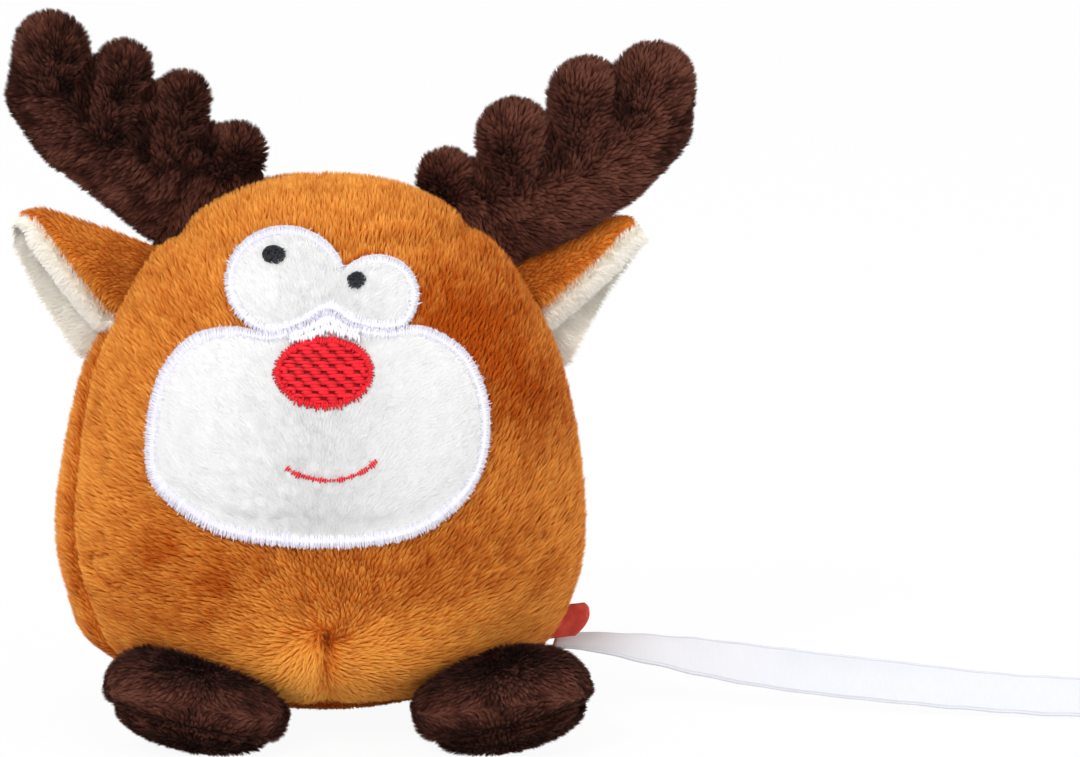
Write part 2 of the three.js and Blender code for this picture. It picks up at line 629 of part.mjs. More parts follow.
// The ribbon is a flat strip on its edge that follows its route to a bare cut end
function makeRibbon() {
  const route = new THREE.CatmullRomCurve3(
    ribbonRoute.map(([x, y, z]) => new THREE.Vector3(x, y, z)));
  const halfWidth = ribbonWidth / 2;
  const halfThickness = ribbonThickness / 2;
  const edge = halfWidth - halfThickness;
  const section = new THREE.Shape([
    new THREE.Vector2(-halfWidth, -halfThickness / 2), new THREE.Vector2(-edge, -halfThickness),
    new THREE.Vector2(edge, -halfThickness), new THREE.Vector2(halfWidth, -halfThickness / 2),
    new THREE.Vector2(halfWidth, halfThickness / 2), new THREE.Vector2(edge, halfThickness),
    new THREE.Vector2(-edge, halfThickness), new THREE.Vector2(-halfWidth, halfThickness / 2),
  ]);
  const strip = new THREE.ExtrudeGeometry(section, {
    steps: ribbonSteps, extrudePath: route, bevelEnabled: false,
  });
  addPiece('ribbon', solidOf(strip).subtract(bodyWithRootGap), ribbonSatin);
}

makeBody();
makeFace();
for (const side of ['left', 'right']) {
  makeAntler(side);
  makeEar(side);
  makeFoot(side);
}
makeLabel();
makeRibbon();

export default group;
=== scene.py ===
# %% [markdown]
# # A small plush deer, dressed around its fixed frame
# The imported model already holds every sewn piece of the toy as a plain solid, in metres. This
# lesson keeps those solids as the measure of the toy and makes what they leave out: the pile of
# the plush, the satin stitches, the woven label and the soft ribbon. Sizes below are written in
# millimetres, as a toy maker writes them, and are turned into metres when a mesh is made.

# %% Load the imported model
import math
from contextlib import contextmanager

import bmesh
import bpy
import numpy as np
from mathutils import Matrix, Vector


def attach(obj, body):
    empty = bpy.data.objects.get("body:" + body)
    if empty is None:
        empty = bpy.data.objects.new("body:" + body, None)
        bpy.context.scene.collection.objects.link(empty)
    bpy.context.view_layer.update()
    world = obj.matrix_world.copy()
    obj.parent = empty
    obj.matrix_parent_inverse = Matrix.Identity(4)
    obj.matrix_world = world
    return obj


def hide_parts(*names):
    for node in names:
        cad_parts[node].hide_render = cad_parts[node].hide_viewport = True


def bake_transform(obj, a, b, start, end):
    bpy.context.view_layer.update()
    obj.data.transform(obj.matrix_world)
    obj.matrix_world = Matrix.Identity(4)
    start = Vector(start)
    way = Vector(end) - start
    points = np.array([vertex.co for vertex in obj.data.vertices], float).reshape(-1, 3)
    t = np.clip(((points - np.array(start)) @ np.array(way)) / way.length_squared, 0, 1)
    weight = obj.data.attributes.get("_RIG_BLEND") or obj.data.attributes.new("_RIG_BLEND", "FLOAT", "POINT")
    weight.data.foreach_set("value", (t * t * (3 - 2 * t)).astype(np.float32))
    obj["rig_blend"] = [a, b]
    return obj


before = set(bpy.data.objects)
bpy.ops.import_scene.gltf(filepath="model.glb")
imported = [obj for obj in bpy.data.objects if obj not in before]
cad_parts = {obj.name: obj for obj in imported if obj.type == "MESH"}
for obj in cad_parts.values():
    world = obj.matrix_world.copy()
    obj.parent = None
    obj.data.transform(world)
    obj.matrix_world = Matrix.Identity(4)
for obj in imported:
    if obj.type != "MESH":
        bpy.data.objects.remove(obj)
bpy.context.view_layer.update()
mm = 0.001

# %% [markdown]
# ## The camera
# The photograph is taken from straight in front, a little above the toy and from about a metre
# away with a long lens. The toy sits left of the middle, because the ribbon runs out of the
# picture on the right.

# %% Camera
camera_target = Vector((29.55, 0, 45.5)) * mm
camera_distance = 0.9
camera_elevation = math.radians(10)

lens = bpy.data.cameras.new("photo_lens")
lens.lens = 219
lens.clip_start = 0.01
camera = bpy.data.objects.new("photo_camera", lens)
bpy.context.collection.objects.link(camera)
away = Vector((0, -math.cos(camera_elevation), math.sin(camera_elevation)))
camera.location = camera_target + camera_distance * away
camera.rotation_euler = (-away).to_track_quat("-Z", "Y").to_euler()
bpy.context.scene.camera = camera
bpy.context.scene.view_settings.view_transform = "Standard"
print("camera at", [round(v, 3) for v in camera.location])

# %% [markdown]
# ## Curves and meshes from numbers
# Every outline and route below is a few listed points. One helper draws a smooth curve
# through them and walks it in even steps, and another turns points and faces into an object. A
# third makes a strip or a tube by joining rows of points.


# %% Helpers for curves and meshes
def gone_along(line):
    """How far along a line each of its points lies."""
    return np.append(0, np.cumsum(np.linalg.norm(np.diff(line, axis=0), axis=1)))


def even_steps(line, steps):
    gone = gone_along(line)
    wanted = np.linspace(0, gone[-1], steps + 1)
    return np.column_stack([np.interp(wanted, gone, column) for column in line.T])


def smooth_line(points, steps, closed=False):
    """A smooth curve through the points, cut into even steps of its length."""
    points = np.asarray(points, float)
    before, after = 2 * points[0] - points[1], 2 * points[-1] - points[-2]
    wide = np.vstack([points[-1:], points, points[:2]] if closed else [before, points, after])
    spans = len(wide) - 3
    place = np.linspace(0, spans, 40 * spans + 1)
    first = np.minimum(place.astype(int), spans - 1)
    part = (place - first)[:, None]
    a, b, c, d = (wide[first + k] for k in range(4))
    dense = 0.5 * (2 * b + (c - a) * part + (2 * a - 5 * b + 4 * c - d) * part ** 2
                   + (3 * b - a - 3 * c + d) * part ** 3)
    return even_steps(dense, steps)[:-1 if closed else None]


def unit(vectors):
    return vectors / np.maximum(np.linalg.norm(vectors, axis=-1, keepdims=True), 1e-9)


def around(angles):
    return np.column_stack([np.cos(angles), np.sin(angles)])


def smooth_step(values, low, high):
    share = np.clip((values - low) / (high - low), 0, 1)
    return share * share * (3 - 2 * share)


def near(values, reach):
    """One at zero, falling off to nothing within about twice the reach."""
    return np.exp(-(values / reach) ** 2)


def make_mesh(name, points, faces):
    mesh = bpy.data.meshes.new(name)
    mesh.from_pydata((np.asarray(points) * mm).tolist(), [], faces)
    piece = bpy.data.objects.new(name, mesh)
    bpy.context.collection.objects.link(piece)
    return piece


def row_faces(rows, across, loop=False):
    """The faces between rows of points; loop joins each row's ends."""
    return [(a + j, a + (j + 1) % across, a + across + (j + 1) % across, a + across + j)
            for a in range(0, (rows - 1) * across, across)
            for j in range(across if loop else across - 1)]


@contextmanager
def opened(piece):
    """The piece's mesh, opened for bmesh to work on and then put back."""
    shape = bmesh.new()
    shape.from_mesh(piece.data)
    yield shape
    shape.to_mesh(piece.data)
    shape.free()


def face_outwards(piece):
    with opened(piece) as shape:
        bmesh.ops.remove_doubles(shape, verts=shape.verts, dist=1e-6)
        bmesh.ops.recalc_face_normals(shape, faces=shape.faces)
    return piece


def modify(piece, kind, **settings):
    modifier = piece.modifiers.new(kind.lower(), kind)
    for key, value in settings.items():
        setattr(modifier, key, value)
    return modifier


def applied(piece):
    """The piece with its modifiers turned into plain mesh."""
    old = piece.data
    solid = bpy.data.meshes.new_from_object(
        piece.evaluated_get(bpy.context.evaluated_depsgraph_get()))
    piece.modifiers.clear()
    piece.data = solid
    bpy.data.meshes.remove(old)
    return piece


def read_all(items, name, across=1, kind=float):
    """One number, or one row of numbers, of every item."""
    values = np.empty(across * len(items), kind)
    items.foreach_get(name, values)
    return values if across == 1 else values.reshape(-1, across)


def points_of(piece):
    """The piece's vertices in millimetres, and their normals."""
    return (read_all(piece.data.vertices, "co", 3) / mm,
            read_all(piece.data.vertices, "normal", 3))


def move_points(piece, places):
    piece.data.vertices.foreach_set("co", (places * mm).ravel())
    piece.data.update()


def keep_values(piece, **named_values):
    """Keeps numbers or directions for every vertex, for Geometry Nodes to read."""
    for name, values in named_values.items():
        values = np.asarray(values, float)
        kind = "FLOAT_VECTOR" if values.ndim == 2 else "FLOAT"
        layer = piece.data.attributes.get(name) \
            or piece.data.attributes.new(name, kind, "POINT")
        layer.data.foreach_set("vector" if values.ndim == 2 else "value", values.ravel())


def set_map(piece, places, reach=0.96):
    """Gives every vertex its place, from 0 to 1 across and along, on the piece's map."""
    layer = piece.data.uv_layers.get("OFBake") or piece.data.uv_layers.new(name="OFBake")
    corners = read_all(piece.data.loops, "vertex_index", kind=int)
    layer.data.foreach_set("uv", (0.02 + reach * places[corners]).ravel())


# %% [markdown]
# ## Node trees in plain Python
# A node tree gets hard to read when every link takes a line. Here a small class stands for one
# output of a node: adding or multiplying two of them adds the Math node that does it. One method
# adds any other node: small letters name its settings, and capitals name its sockets.


# %% Node helpers
def pick(sockets, key):
    if isinstance(key, int):
        return sockets[key]
    return next(socket for socket in sockets if socket.name == key and socket.enabled)


class Wire:
    """One output of a node, which Python can calculate with."""

    def __init__(self, plan, socket):
        self.plan, self.socket = plan, socket

    def out(self, key):
        return Wire(self.plan, pick(self.socket.node.outputs, key))

    def __add__(self, other):
        return self.plan.maths("ADD", self, other)

    def __sub__(self, other):
        return self.plan.maths("SUBTRACT", self, other)

    def __rsub__(self, other):
        return self.plan.maths("SUBTRACT", other, self)

    def __mul__(self, other):
        return self.plan.maths("MULTIPLY", self, other)

    def __truediv__(self, other):
        return self.plan.maths("DIVIDE", self, other)

    def __rtruediv__(self, other):
        return self.plan.maths("DIVIDE", other, self)

    def __pow__(self, other):
        return self.plan.maths("POWER", self, other)

    __radd__, __rmul__ = __add__, __mul__


class Plan:
    """A node tree under construction."""

    def __init__(self, tree):
        self.tree = tree
        self.sockets = {}

    def set_input(self, node, key, value):
        target = pick(node.inputs, key)
        if isinstance(value, Wire):
            self.tree.links.new(value.socket, target)
        else:
            target.default_value = value

    def add(self, kind, *values, output=0, **named_values):
        node = self.tree.nodes.new(kind)
        node.location = (180 * (len(self.tree.nodes) % 12), -240 * (len(self.tree.nodes) // 12))
        for key in [key for key in named_values if key[0].islower()]:
            setattr(node, key, named_values.pop(key))
        for key, value in [*enumerate(values), *named_values.items()]:
            self.set_input(node, key.replace("_", " ") if key in named_values else key, value)
        return Wire(self, pick(node.outputs, output))

    def maths(self, operation, *values, clamped=False):
        return self.add("ShaderNodeMath", *values, operation=operation, use_clamp=clamped)

    def vector(self, operation, *values):
        output = "Value" if operation in ("DOT_PRODUCT", "LENGTH") else "Vector"
        return self.add("ShaderNodeVectorMath", *values, operation=operation, output=output)

    def scaled(self, vector, size):
        return self.add("ShaderNodeVectorMath", vector, operation="SCALE", Scale=size)

    def split(self, vector):
        """The three numbers of a vector."""
        parts = self.add("ShaderNodeSeparateXYZ", vector)
        return [parts.out(axis) for axis in "XYZ"]

    def combine(self, x=0.0, y=0.0, z=0.0):
        return self.add("ShaderNodeCombineXYZ", x, y, z)

    def noise(self, scale, detail=2.0, output="Fac", **more):
        return self.add("ShaderNodeTexNoise", Scale=scale, Detail=detail, output=output, **more)

    def ramp(self, share, *stops):
        """A row of colours, each at its share."""
        wire = self.add("ShaderNodeValToRGB", share)
        elements = wire.socket.node.color_ramp.elements
        while len(elements) < len(stops):
            elements.new(1)
        for element, (place, color) in zip(elements, stops):
            element.position, element.color = place, color_of(*color)
        return wire

    def blend(self, share, first, second):
        """One colour turning into another."""
        return self.add("ShaderNodeMix", data_type="RGBA", clamp_factor=True, Factor=share,
                        A=first, B=second, output="Result")

    def ask(self, name, kind="Float"):
        """A named input of the whole tree."""
        socket = self.tree.interface.new_socket(
            name, in_out="INPUT", socket_type="NodeSocket" + kind)
        self.sockets[name] = socket.identifier
        entry = next((n for n in self.tree.nodes if n.type == "GROUP_INPUT"), None)
        entry = entry or self.tree.nodes.new("NodeGroupInput")
        return Wire(self, pick(entry.outputs, name))


def color_of(red, green, blue):
    """A screen colour, from 0 to 255, as the linear colour that a shader wants."""
    shares = [value / 255 for value in (red, green, blue)]
    return tuple(s / 12.92 if s <= 0.04045 else ((s + 0.055) / 1.055) ** 2.4
                 for s in shares) + (1.0,)


def new_finish(name, roughness, **fixed):
    """A material, and the plan and shader node to finish it with."""
    material = bpy.data.materials.new(name)
    material.use_nodes = True
    plan = Plan(material.node_tree)
    shader = next(n for n in material.node_tree.nodes if n.type == "BSDF_PRINCIPLED")
    shader.inputs["Roughness"].default_value = roughness
    for key, value in fixed.items():
        shader.inputs[key.replace("_", " ")].default_value = value
    return material, plan, shader


def place_on_map(plan):
    """The two numbers of the piece's own map: across it and along it."""
    return plan.split(plan.add("ShaderNodeUVMap", uv_map="OFBake"))[:2]


# %% [markdown]
# ## Finishes
# Plush looks dark between its fibres, where they shade each other, and pale at their tips, so a
# pile finish paints that shade in. It follows a map whose one direction runs along each strand
# from root to tip and whose other direction says how pale that strand is. Thread works the same
# way, with a painted highlight along the middle of each stitch.


# %% Pile and thread finishes
def pile_finish(name, root, deep, middle, tip):
    material, plan, shader = new_finish(
        name, 0.85, Sheen_Weight=0.03, Sheen_Roughness=0.5, Specular_IOR_Level=0.1)
    shade, along = place_on_map(plan)
    # Painted shade: each strand darkens towards its root, where the fibres shade each other
    dark = plan.ramp(along, (0, root), (1, deep))
    pale = plan.ramp(along, (0, deep), (0.4, middle), (1, tip))
    plan.set_input(shader, "Base Color", plan.blend(shade, dark, pale))
    return material


def thread_finish(name, dark, pale, palest=0.5):
    """Thread with a painted highlight: palest at one place along each stitch, with painted shade away from
    it.
    """
    material, plan, shader = new_finish(name, 0.5, Sheen_Weight=0.03, Specular_IOR_Level=0.2)
    shade, along = place_on_map(plan)
    # The shine is a painted highlight, and the ends of each stitch are painted darker
    off = plan.maths("ABSOLUTE", along - palest) / (1 - palest)
    shine = plan.maths("SUBTRACT", 1.0, off ** 2, clamped=True)
    plan.set_input(shader, "Base Color", plan.blend(
        shine * 0.6 + shade * 0.4, color_of(*dark), color_of(*pale)))
    return material


orange_pile = pile_finish("orange plush pile", (162, 58, 2), (214, 96, 8), (250, 156, 52),
                          (255, 202, 102))
brown_pile = pile_finish("brown plush pile", (20, 6, 3), (53, 21, 13), (97, 49, 36),
                         (150, 97, 80))
cream_pile = pile_finish("cream plush pile", (246, 238, 224), (252, 246, 233), (254, 250, 240),
                         (255, 254, 249))
white_pile = pile_finish("white plush pile", (234, 234, 233), (244, 244, 243), (248, 248, 248),
                         (251, 251, 252))
white_thread = thread_finish("white satin thread", (196, 191, 214), (236, 236, 242), palest=0.35)
red_thread = thread_finish("red embroidery thread", (150, 0, 14), (244, 30, 46))
black_thread = thread_finish("black embroidery thread", (6, 6, 8), (44, 46, 52))
print("finishes:", len(bpy.data.materials))

# %% [markdown]
# ## The satin ribbon
# The ribbon is a free cord: a flat one, six millimetres wide, which is sewn into the side seam
# and comes to rest on the table. It is a strip swept along its route. It leaves the seam with its
# face up, turns most of the way onto its edge within a few centimetres, and lies there leaning.
# The two woven edges are a little thicker than the satin between them. Its far end is a plain
# cut.

# %% Ribbon
ribbon_width = 6.0
ribbon_thickness = 0.22
selvage_width = 0.55
selvage_thickness = 0.34
ribbon_steps = 260
ribbon_route = [
    (31.5, -0.6, 8.9), (35, -1, 9), (39, -1.5, 8.9), (43, -2, 8.55), (48, -2.6, 7.9),
    (53, -3.2, 7.15), (58.5, -4, 6.4), (65, -4.7, 5.6), (72, -5.4, 4.9), (79, -6, 4.3),
    (86, -6.7, 3.7), (93, -7.3, 3.2), (98, -7.7, 2.9), (103, -8, 2.7), (108, -8.2, 2.6),
    (113, -8.4, 2.6), (118, -8.4, 2.6), (123, -8, 2.6), (127.4, -6.3, 2.6), (131.4, -2.8, 2.6),
    (133.6, 2, 2.6), (133.9, 7.2, 2.6), (131.9, 12, 2.6), (128, 15.7, 2.6), (123, 17.5, 2.6),
    (117.8, 17.3, 2.6), (113.2, 15, 2.6), (109.9, 11.2, 2.6), (108.6, 6.6, 2.6)]
# How far along the ribbon, and by how many degrees it is turned there from standing on its edge
ribbon_turns = ((0, 4, 9, 15, 23, 33, 45, 60), (84, 80, 71, 58, 40, 24, 26, 40))
ribbon_path = smooth_line(ribbon_route, ribbon_steps)
ribbon_length = gone_along(ribbon_path)[-1]


def satin_finish():
    material, plan, shader = new_finish(
        "white satin ribbon", 0.38, Sheen_Weight=0.05, Sheen_Roughness=0.3,
        Specular_IOR_Level=0.3)
    along, across = place_on_map(plan)
    weft = plan.noise(1.0, Vector=plan.combine(along * 900, across * 4))
    from_middle = plan.maths("ABSOLUTE", across * 2 - 1)
    edge = plan.maths("LESS_THAN", plan.maths("ABSOLUTE", from_middle - 0.86), 0.035)
    hem = plan.maths("GREATER_THAN", from_middle, 0.95)
    cloth = plan.blend(weft, color_of(211, 213, 219), color_of(220, 222, 227))
    lined = plan.blend(edge * 0.5 + hem * 0.2, cloth, color_of(178, 180, 196))
    plan.set_input(shader, "Base Color", lined)
    plan.set_input(shader, "Roughness", weft * 0.2 + 0.28)
    return material


def on_body(piece, solid):
    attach(piece, "body")
    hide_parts(solid)


def make_ribbon():
    share = np.linspace(0, 1, ribbon_steps + 1)
    gone = share * ribbon_length
    along = unit(np.gradient(ribbon_path, axis=0))
    aside = unit(np.cross((0, 0, 1.0), along))
    upright = unit(np.cross(along, aside))
    turn = np.radians(np.interp(gone, *ribbon_turns))[:, None]
    wide = upright * np.cos(turn) + aside * np.sin(turn)
    thick = aside * np.cos(turn) - upright * np.sin(turn)
    hem, edge = ribbon_width / 2, ribbon_width / 2 - selvage_width
    fat, thin = selvage_thickness / 2, ribbon_thickness / 2
    section = [(-hem, 0.6 * fat), (-hem + 0.15, fat), (-edge, fat), (-edge + 0.1, thin),
               (0, thin), (edge - 0.1, thin), (edge, fat), (hem - 0.15, fat), (hem, 0.6 * fat)]
    across, height = np.array(section + [(place, -up) for place, up in reversed(section)]).T
    ripple = 0.12 * np.sin(gone * 0.9) * smooth_step(gone, 0, 20)
    curl = 0.35 * smooth_step(gone, 2, 12) * (1 - smooth_step(gone, 60, 80))
    lift = height + np.outer(ripple, across / hem) + np.outer(curl, (across / hem) ** 2)
    points = ribbon_path[:, None] + wide[:, None] * across[:, None] \
        + thick[:, None] * lift[..., None]
    count = len(across)
    faces = row_faces(len(gone), count, loop=True)
    faces += [tuple(range(count - 1, -1, -1)),
              tuple(range(ribbon_steps * count, (ribbon_steps + 1) * count))]
    piece = make_mesh("satin_ribbon", points.reshape(-1, 3), faces)
    set_map(piece, np.column_stack([np.repeat(share, count),
                                    np.tile(0.5 + 0.5 * across / hem, len(gone))]))
    face_outwards(piece)
    piece.data.materials.append(satin_finish())
    piece.data.shade_smooth()
    on_body(piece, "ribbon")


make_ribbon()
print("ribbon:", round(ribbon_length), "mm")

# %% [markdown]
# ## A tree that grows pile
# Plush pile is thousands of short strands that lean the way the cloth was combed and cling
# together in small tufts. Hair curves would be lost in an export, so Geometry Nodes scatter a
# thin sliver over the cloth instead. Each vertex of the cloth says which way its pile is
# combed, how long it is, how pale it is and whether any grows there at all.


# %% Pile tree
def new_tree(name):
    tree = bpy.data.node_groups.new(name, "GeometryNodeTree")
    tree.interface.new_socket("Result", in_out="OUTPUT", socket_type="NodeSocketGeometry")
    return Plan(tree)


def close_tree(plan, result):
    exit_node = plan.tree.nodes.new("NodeGroupOutput")
    plan.tree.links.new(result.socket, exit_node.inputs[0])
    return plan


def named(plan, name, kind="FLOAT"):
    return plan.add("GeometryNodeInputNamedAttribute", data_type=kind, Name=name,
                    output="Attribute")


def store(plan, geometry, name, value, kind="FLOAT", domain="POINT"):
    return plan.add("GeometryNodeStoreNamedAttribute", data_type=kind, domain=domain,
                    Geometry=geometry, Name=name, Value=value)


def painted(plan, geometry, place, finish):
    """The geometry with its map and its finish."""
    return plan.add("GeometryNodeSetMaterial", Material=finish,
                    Geometry=store(plan, geometry, "OFBake", place, "FLOAT2", "CORNER"))


def realised(plan, strands, finish):
    """Strands or threads as plain mesh, mapped by their tone and from root to tip."""
    across, along, tone = (named(plan, name) for name in ("across", "along", "tone"))
    place = plan.combine(plan.maths("MULTIPLY", tone, 0.94, clamped=True) + across * 0.04 + 0.01,
                         along * 0.96 + 0.02)
    strands = plan.add("GeometryNodeRealizeInstances", Geometry=strands)
    return painted(plan, strands, place, finish)


def measured(plan, strand, across, along):
    """A strand whose points keep how far across and along it they lie; also the latter."""
    for name, value in (("across", across), ("along", along)):
        strand = store(plan, strand, name, value + 0.5)
    return strand, named(plan, "along")


def laid(plan, roots, strand, aim, facing, width, thickness):
    """A strand on every root, turned and stretched along its aim."""
    turn = plan.add("FunctionNodeAxesToRotation", primary_axis="Z", secondary_axis="Y",
                    Primary_Axis=aim, Secondary_Axis=facing)
    return plan.add("GeometryNodeInstanceOnPoints", Points=roots, Instance=strand,
                    Rotation=turn,
                    Scale=plan.combine(width, thickness, plan.vector("LENGTH", aim)))


def chance(plan, low, high, seed, kind="FLOAT"):
    return plan.add("FunctionNodeRandomValue", data_type=kind, Min=low, Max=high, Seed=seed,
                    output="Value")


def blade(plan):
    """One strand: a sliver that tapers to a point, one unit long along Z."""
    strip = plan.add("GeometryNodeMeshGrid", Size_X=1.0, Size_Y=1.0, Vertices_X=2,
                     Vertices_Y=2, output="Mesh")
    x, y, _ = plan.split(plan.add("GeometryNodeInputPosition"))
    strip, up = measured(plan, strip, x, y)
    strip = plan.add("GeometryNodeSetPosition", Geometry=strip,
                     Position=plan.combine(x * (1 - up), z=up))
    return plan.add("GeometryNodeMergeByDistance", Geometry=strip, Distance=0.01)


# What a piece of cloth may say about its pile: the input of the tree, and its unit
pile_inputs = {
    "density": ("Strands per square metre", 1e6), "length": ("Strand length", mm),
    "width": ("Strand width", mm), "rise": ("Rise from the cloth", 1), "tuft": ("Tuft size", mm),
    "cling": ("Cling in a tuft", 1), "ruffle": ("Ruffle", 1), "ruffle_size": ("Ruffle size", mm),
    "speckle": ("Speckle", 1), "patches": ("Patches", 1), "patch_size": ("Patch size", mm)}


def pile_tree():
    plan = new_tree("pile")
    cloth = plan.ask("Cloth", "Geometry")
    (per_area, length, width, rise, tuft, cling, ruffle, ruffle_size, speckle, patches,
     patch_size) = [plan.ask(name) for name, _ in pile_inputs.values()]
    seed, finish = plan.ask("Seed", "Int"), plan.ask("Finish", "Material")
    where = plan.add("GeometryNodeInputPosition")

    def reach(normal):
        """How a strand runs from its root: combed, and ruffled by noise."""
        noise = plan.noise(1 / ruffle_size, 1.0, "Color")
        stray = plan.scaled(plan.vector("SUBTRACT", noise, (0.5, 0.5, 0.5)), ruffle)
        combed = plan.vector("ADD", plan.scaled(normal, rise),
                             named(plan, "comb", "FLOAT_VECTOR"))
        lean = plan.vector("NORMALIZE", plan.vector("ADD", combed, stray))
        return plan.scaled(lean, length * named(plan, "pile"))

    def of_tuft(value, kind):
        """A value of the nearest tuft."""
        return plan.add("GeometryNodeSampleIndex", data_type=kind, domain="POINT",
                        Geometry=tufts, Index=nearest, Value=value, output="Value")

    scatter = plan.add("GeometryNodeDistributePointsOnFaces", distribute_method="RANDOM",
                       Mesh=cloth, Density=per_area, Seed=seed, output="Points")
    normal = scatter.out("Normal")
    faces_in = plan.maths("LESS_THAN", plan.vector(
        "DOT_PRODUCT", normal, named(plan, "outwards", "FLOAT_VECTOR")), 0.3)
    bare = plan.maths("LESS_THAN", named(plan, "grows"), 0.0)
    roots = plan.add("GeometryNodeDeleteGeometry", domain="POINT", Geometry=scatter,
                     Selection=faces_in + bare)
    tufts = plan.add("GeometryNodeDistributePointsOnFaces", distribute_method="POISSON",
                     Mesh=cloth, Distance_Min=tuft, Density_Max=2.0 / (tuft * tuft),
                     Seed=seed + 1, output="Points")
    nearest = plan.add("GeometryNodeSampleNearest", domain="POINT", Geometry=tufts,
                       Sample_Position=where)
    tuft_tip = of_tuft(plan.vector("ADD", where, reach(tufts.out("Normal"))), "FLOAT_VECTOR")
    tuft_tone = of_tuft(chance(plan, -1.0, 1.0, seed + 2), "FLOAT")
    own = plan.scaled(reach(normal), chance(plan, 0.7, 1.15, seed + 3))
    drawn = plan.vector("SUBTRACT", tuft_tip, where)
    aim = plan.vector("ADD", plan.scaled(own, 1 - cling), plan.scaled(drawn, cling))
    patch = plan.noise(1 / patch_size)
    tone = named(plan, "shade") + (patch - 0.5) * patches + tuft_tone * speckle \
        + chance(plan, -1.0, 1.0, seed + 4) * speckle * 0.6
    roots = store(plan, roots, "tone", plan.maths("ADD", tone, 0.0, clamped=True))
    askew = chance(plan, (-0.5,) * 3, (0.5,) * 3, seed + 5, "FLOAT_VECTOR")
    facing = plan.scaled(plan.vector("ADD", normal, askew), -1.0)
    strands = laid(plan, roots, blade(plan), aim, facing,
                   width * chance(plan, 0.7, 1.3, seed + 6), plan.vector("LENGTH", aim))
    x, y, z = plan.split(where)
    # Painted shade: the cloth under the pile is mapped near the strands' roots, so it takes their dark
    # colour
    back = plan.combine(x * 4 + y * 1.7 + 0.45, z * 0.4 + y * 0.23 + 0.16)
    both = plan.add("GeometryNodeJoinGeometry", painted(plan, cloth, back, finish))
    plan.tree.links.new(realised(plan, strands, finish).socket, both.socket.node.inputs[0])
    on_table = plan.combine(x, y, plan.maths("MAXIMUM", z, 0.00005))
    return close_tree(plan, plan.add("GeometryNodeSetPosition", Geometry=both,
                                     Position=on_table))


pile_plan = pile_tree()
print("pile tree:", len(pile_plan.tree.nodes), "nodes")

# %% [markdown]
# ## A tree that sews stitches
# A satin stitch is one thread laid across an edge. Each mark says where a stitch lies, which way
# and how far it runs, which way it faces and how thick its thread is, and the tree lays an arched
# and slightly flattened thread on every mark.


# %% Stitch tree
thread_flatness = 0.7


def stitch_tree():
    plan = new_tree("stitches")
    marks = plan.ask("Marks", "Geometry")
    arch, narrowing = plan.ask("Arch"), plan.ask("Narrowing")
    finish = plan.ask("Finish", "Material")
    thread = plan.add("GeometryNodeMeshCylinder", fill_type="TRIANGLE_FAN", Vertices=5,
                      Side_Segments=4, Radius=0.5, Depth=1.0, output="Mesh")
    x, y, z = plan.split(plan.add("GeometryNodeInputPosition"))
    thread, up = measured(plan, thread, x, z)
    from_middle = (up * 2 - 1) ** 2
    taper = 1 - from_middle * narrowing
    thread = plan.add(
        "GeometryNodeSetPosition", Geometry=thread, Position=plan.combine(
            x * taper, y * taper * thread_flatness + (1 - from_middle) * arch, up))
    thread = plan.add("GeometryNodeSetShadeSmooth", Geometry=thread, Shade_Smooth=True)
    girth = named(plan, "girth")
    sewn = laid(plan, marks, thread, named(plan, "aim", "FLOAT_VECTOR"),
                named(plan, "face", "FLOAT_VECTOR"), girth, girth)
    return close_tree(plan, realised(plan, sewn, finish))


stitch_plan = stitch_tree()


def run_tree(piece, plan, values):
    """Runs a tree on a piece and leaves plain mesh, with the tree's working values removed."""
    modifier = piece.modifiers.new(plan.tree.name, "NODES")
    modifier.node_group = plan.tree
    for name, value in values.items():
        modifier[plan.sockets[name]] = value
    applied(piece)
    kept = {"OFBake", "position", "sharp_face", "material_index"}
    for name in [a.name for a in piece.data.attributes]:
        if name not in kept and not name.startswith("."):
            piece.data.attributes.remove(piece.data.attributes[name])
    return piece


def sew(name, starts, ends, faces, girths, finish, seed, arch=1.0, narrowing=0.45):
    """Stitches between points, all in millimetres."""
    piece = make_mesh(name, starts, [])
    keep_values(piece, aim=(ends - starts) * mm, face=faces,
                girth=np.broadcast_to(girths, len(starts)) * mm,
                tone=np.random.default_rng(seed).uniform(0, 1, len(starts)))
    return run_tree(piece, stitch_plan, {"Arch": arch, "Narrowing": narrowing,
                                         "Finish": finish})


def join(name, *pieces):
    """Several meshes as one piece."""
    with bpy.context.temp_override(active_object=pieces[0], selected_editable_objects=pieces,
                                   selected_objects=pieces):
        bpy.ops.object.join()
    pieces[0].name = pieces[0].data.name = name
    return pieces[0]


print("stitch tree:", len(stitch_plan.tree.nodes), "nodes")

# %% [markdown]
# ## The ball
# The body is a stuffed ball, a little taller than wide, that bulges low down. One half outline,
# turned round and pressed a little flatter from front to back, gives every point of its cloth.
# The face pieces, the feet and the pile all ask the same functions where the ball's cloth is.

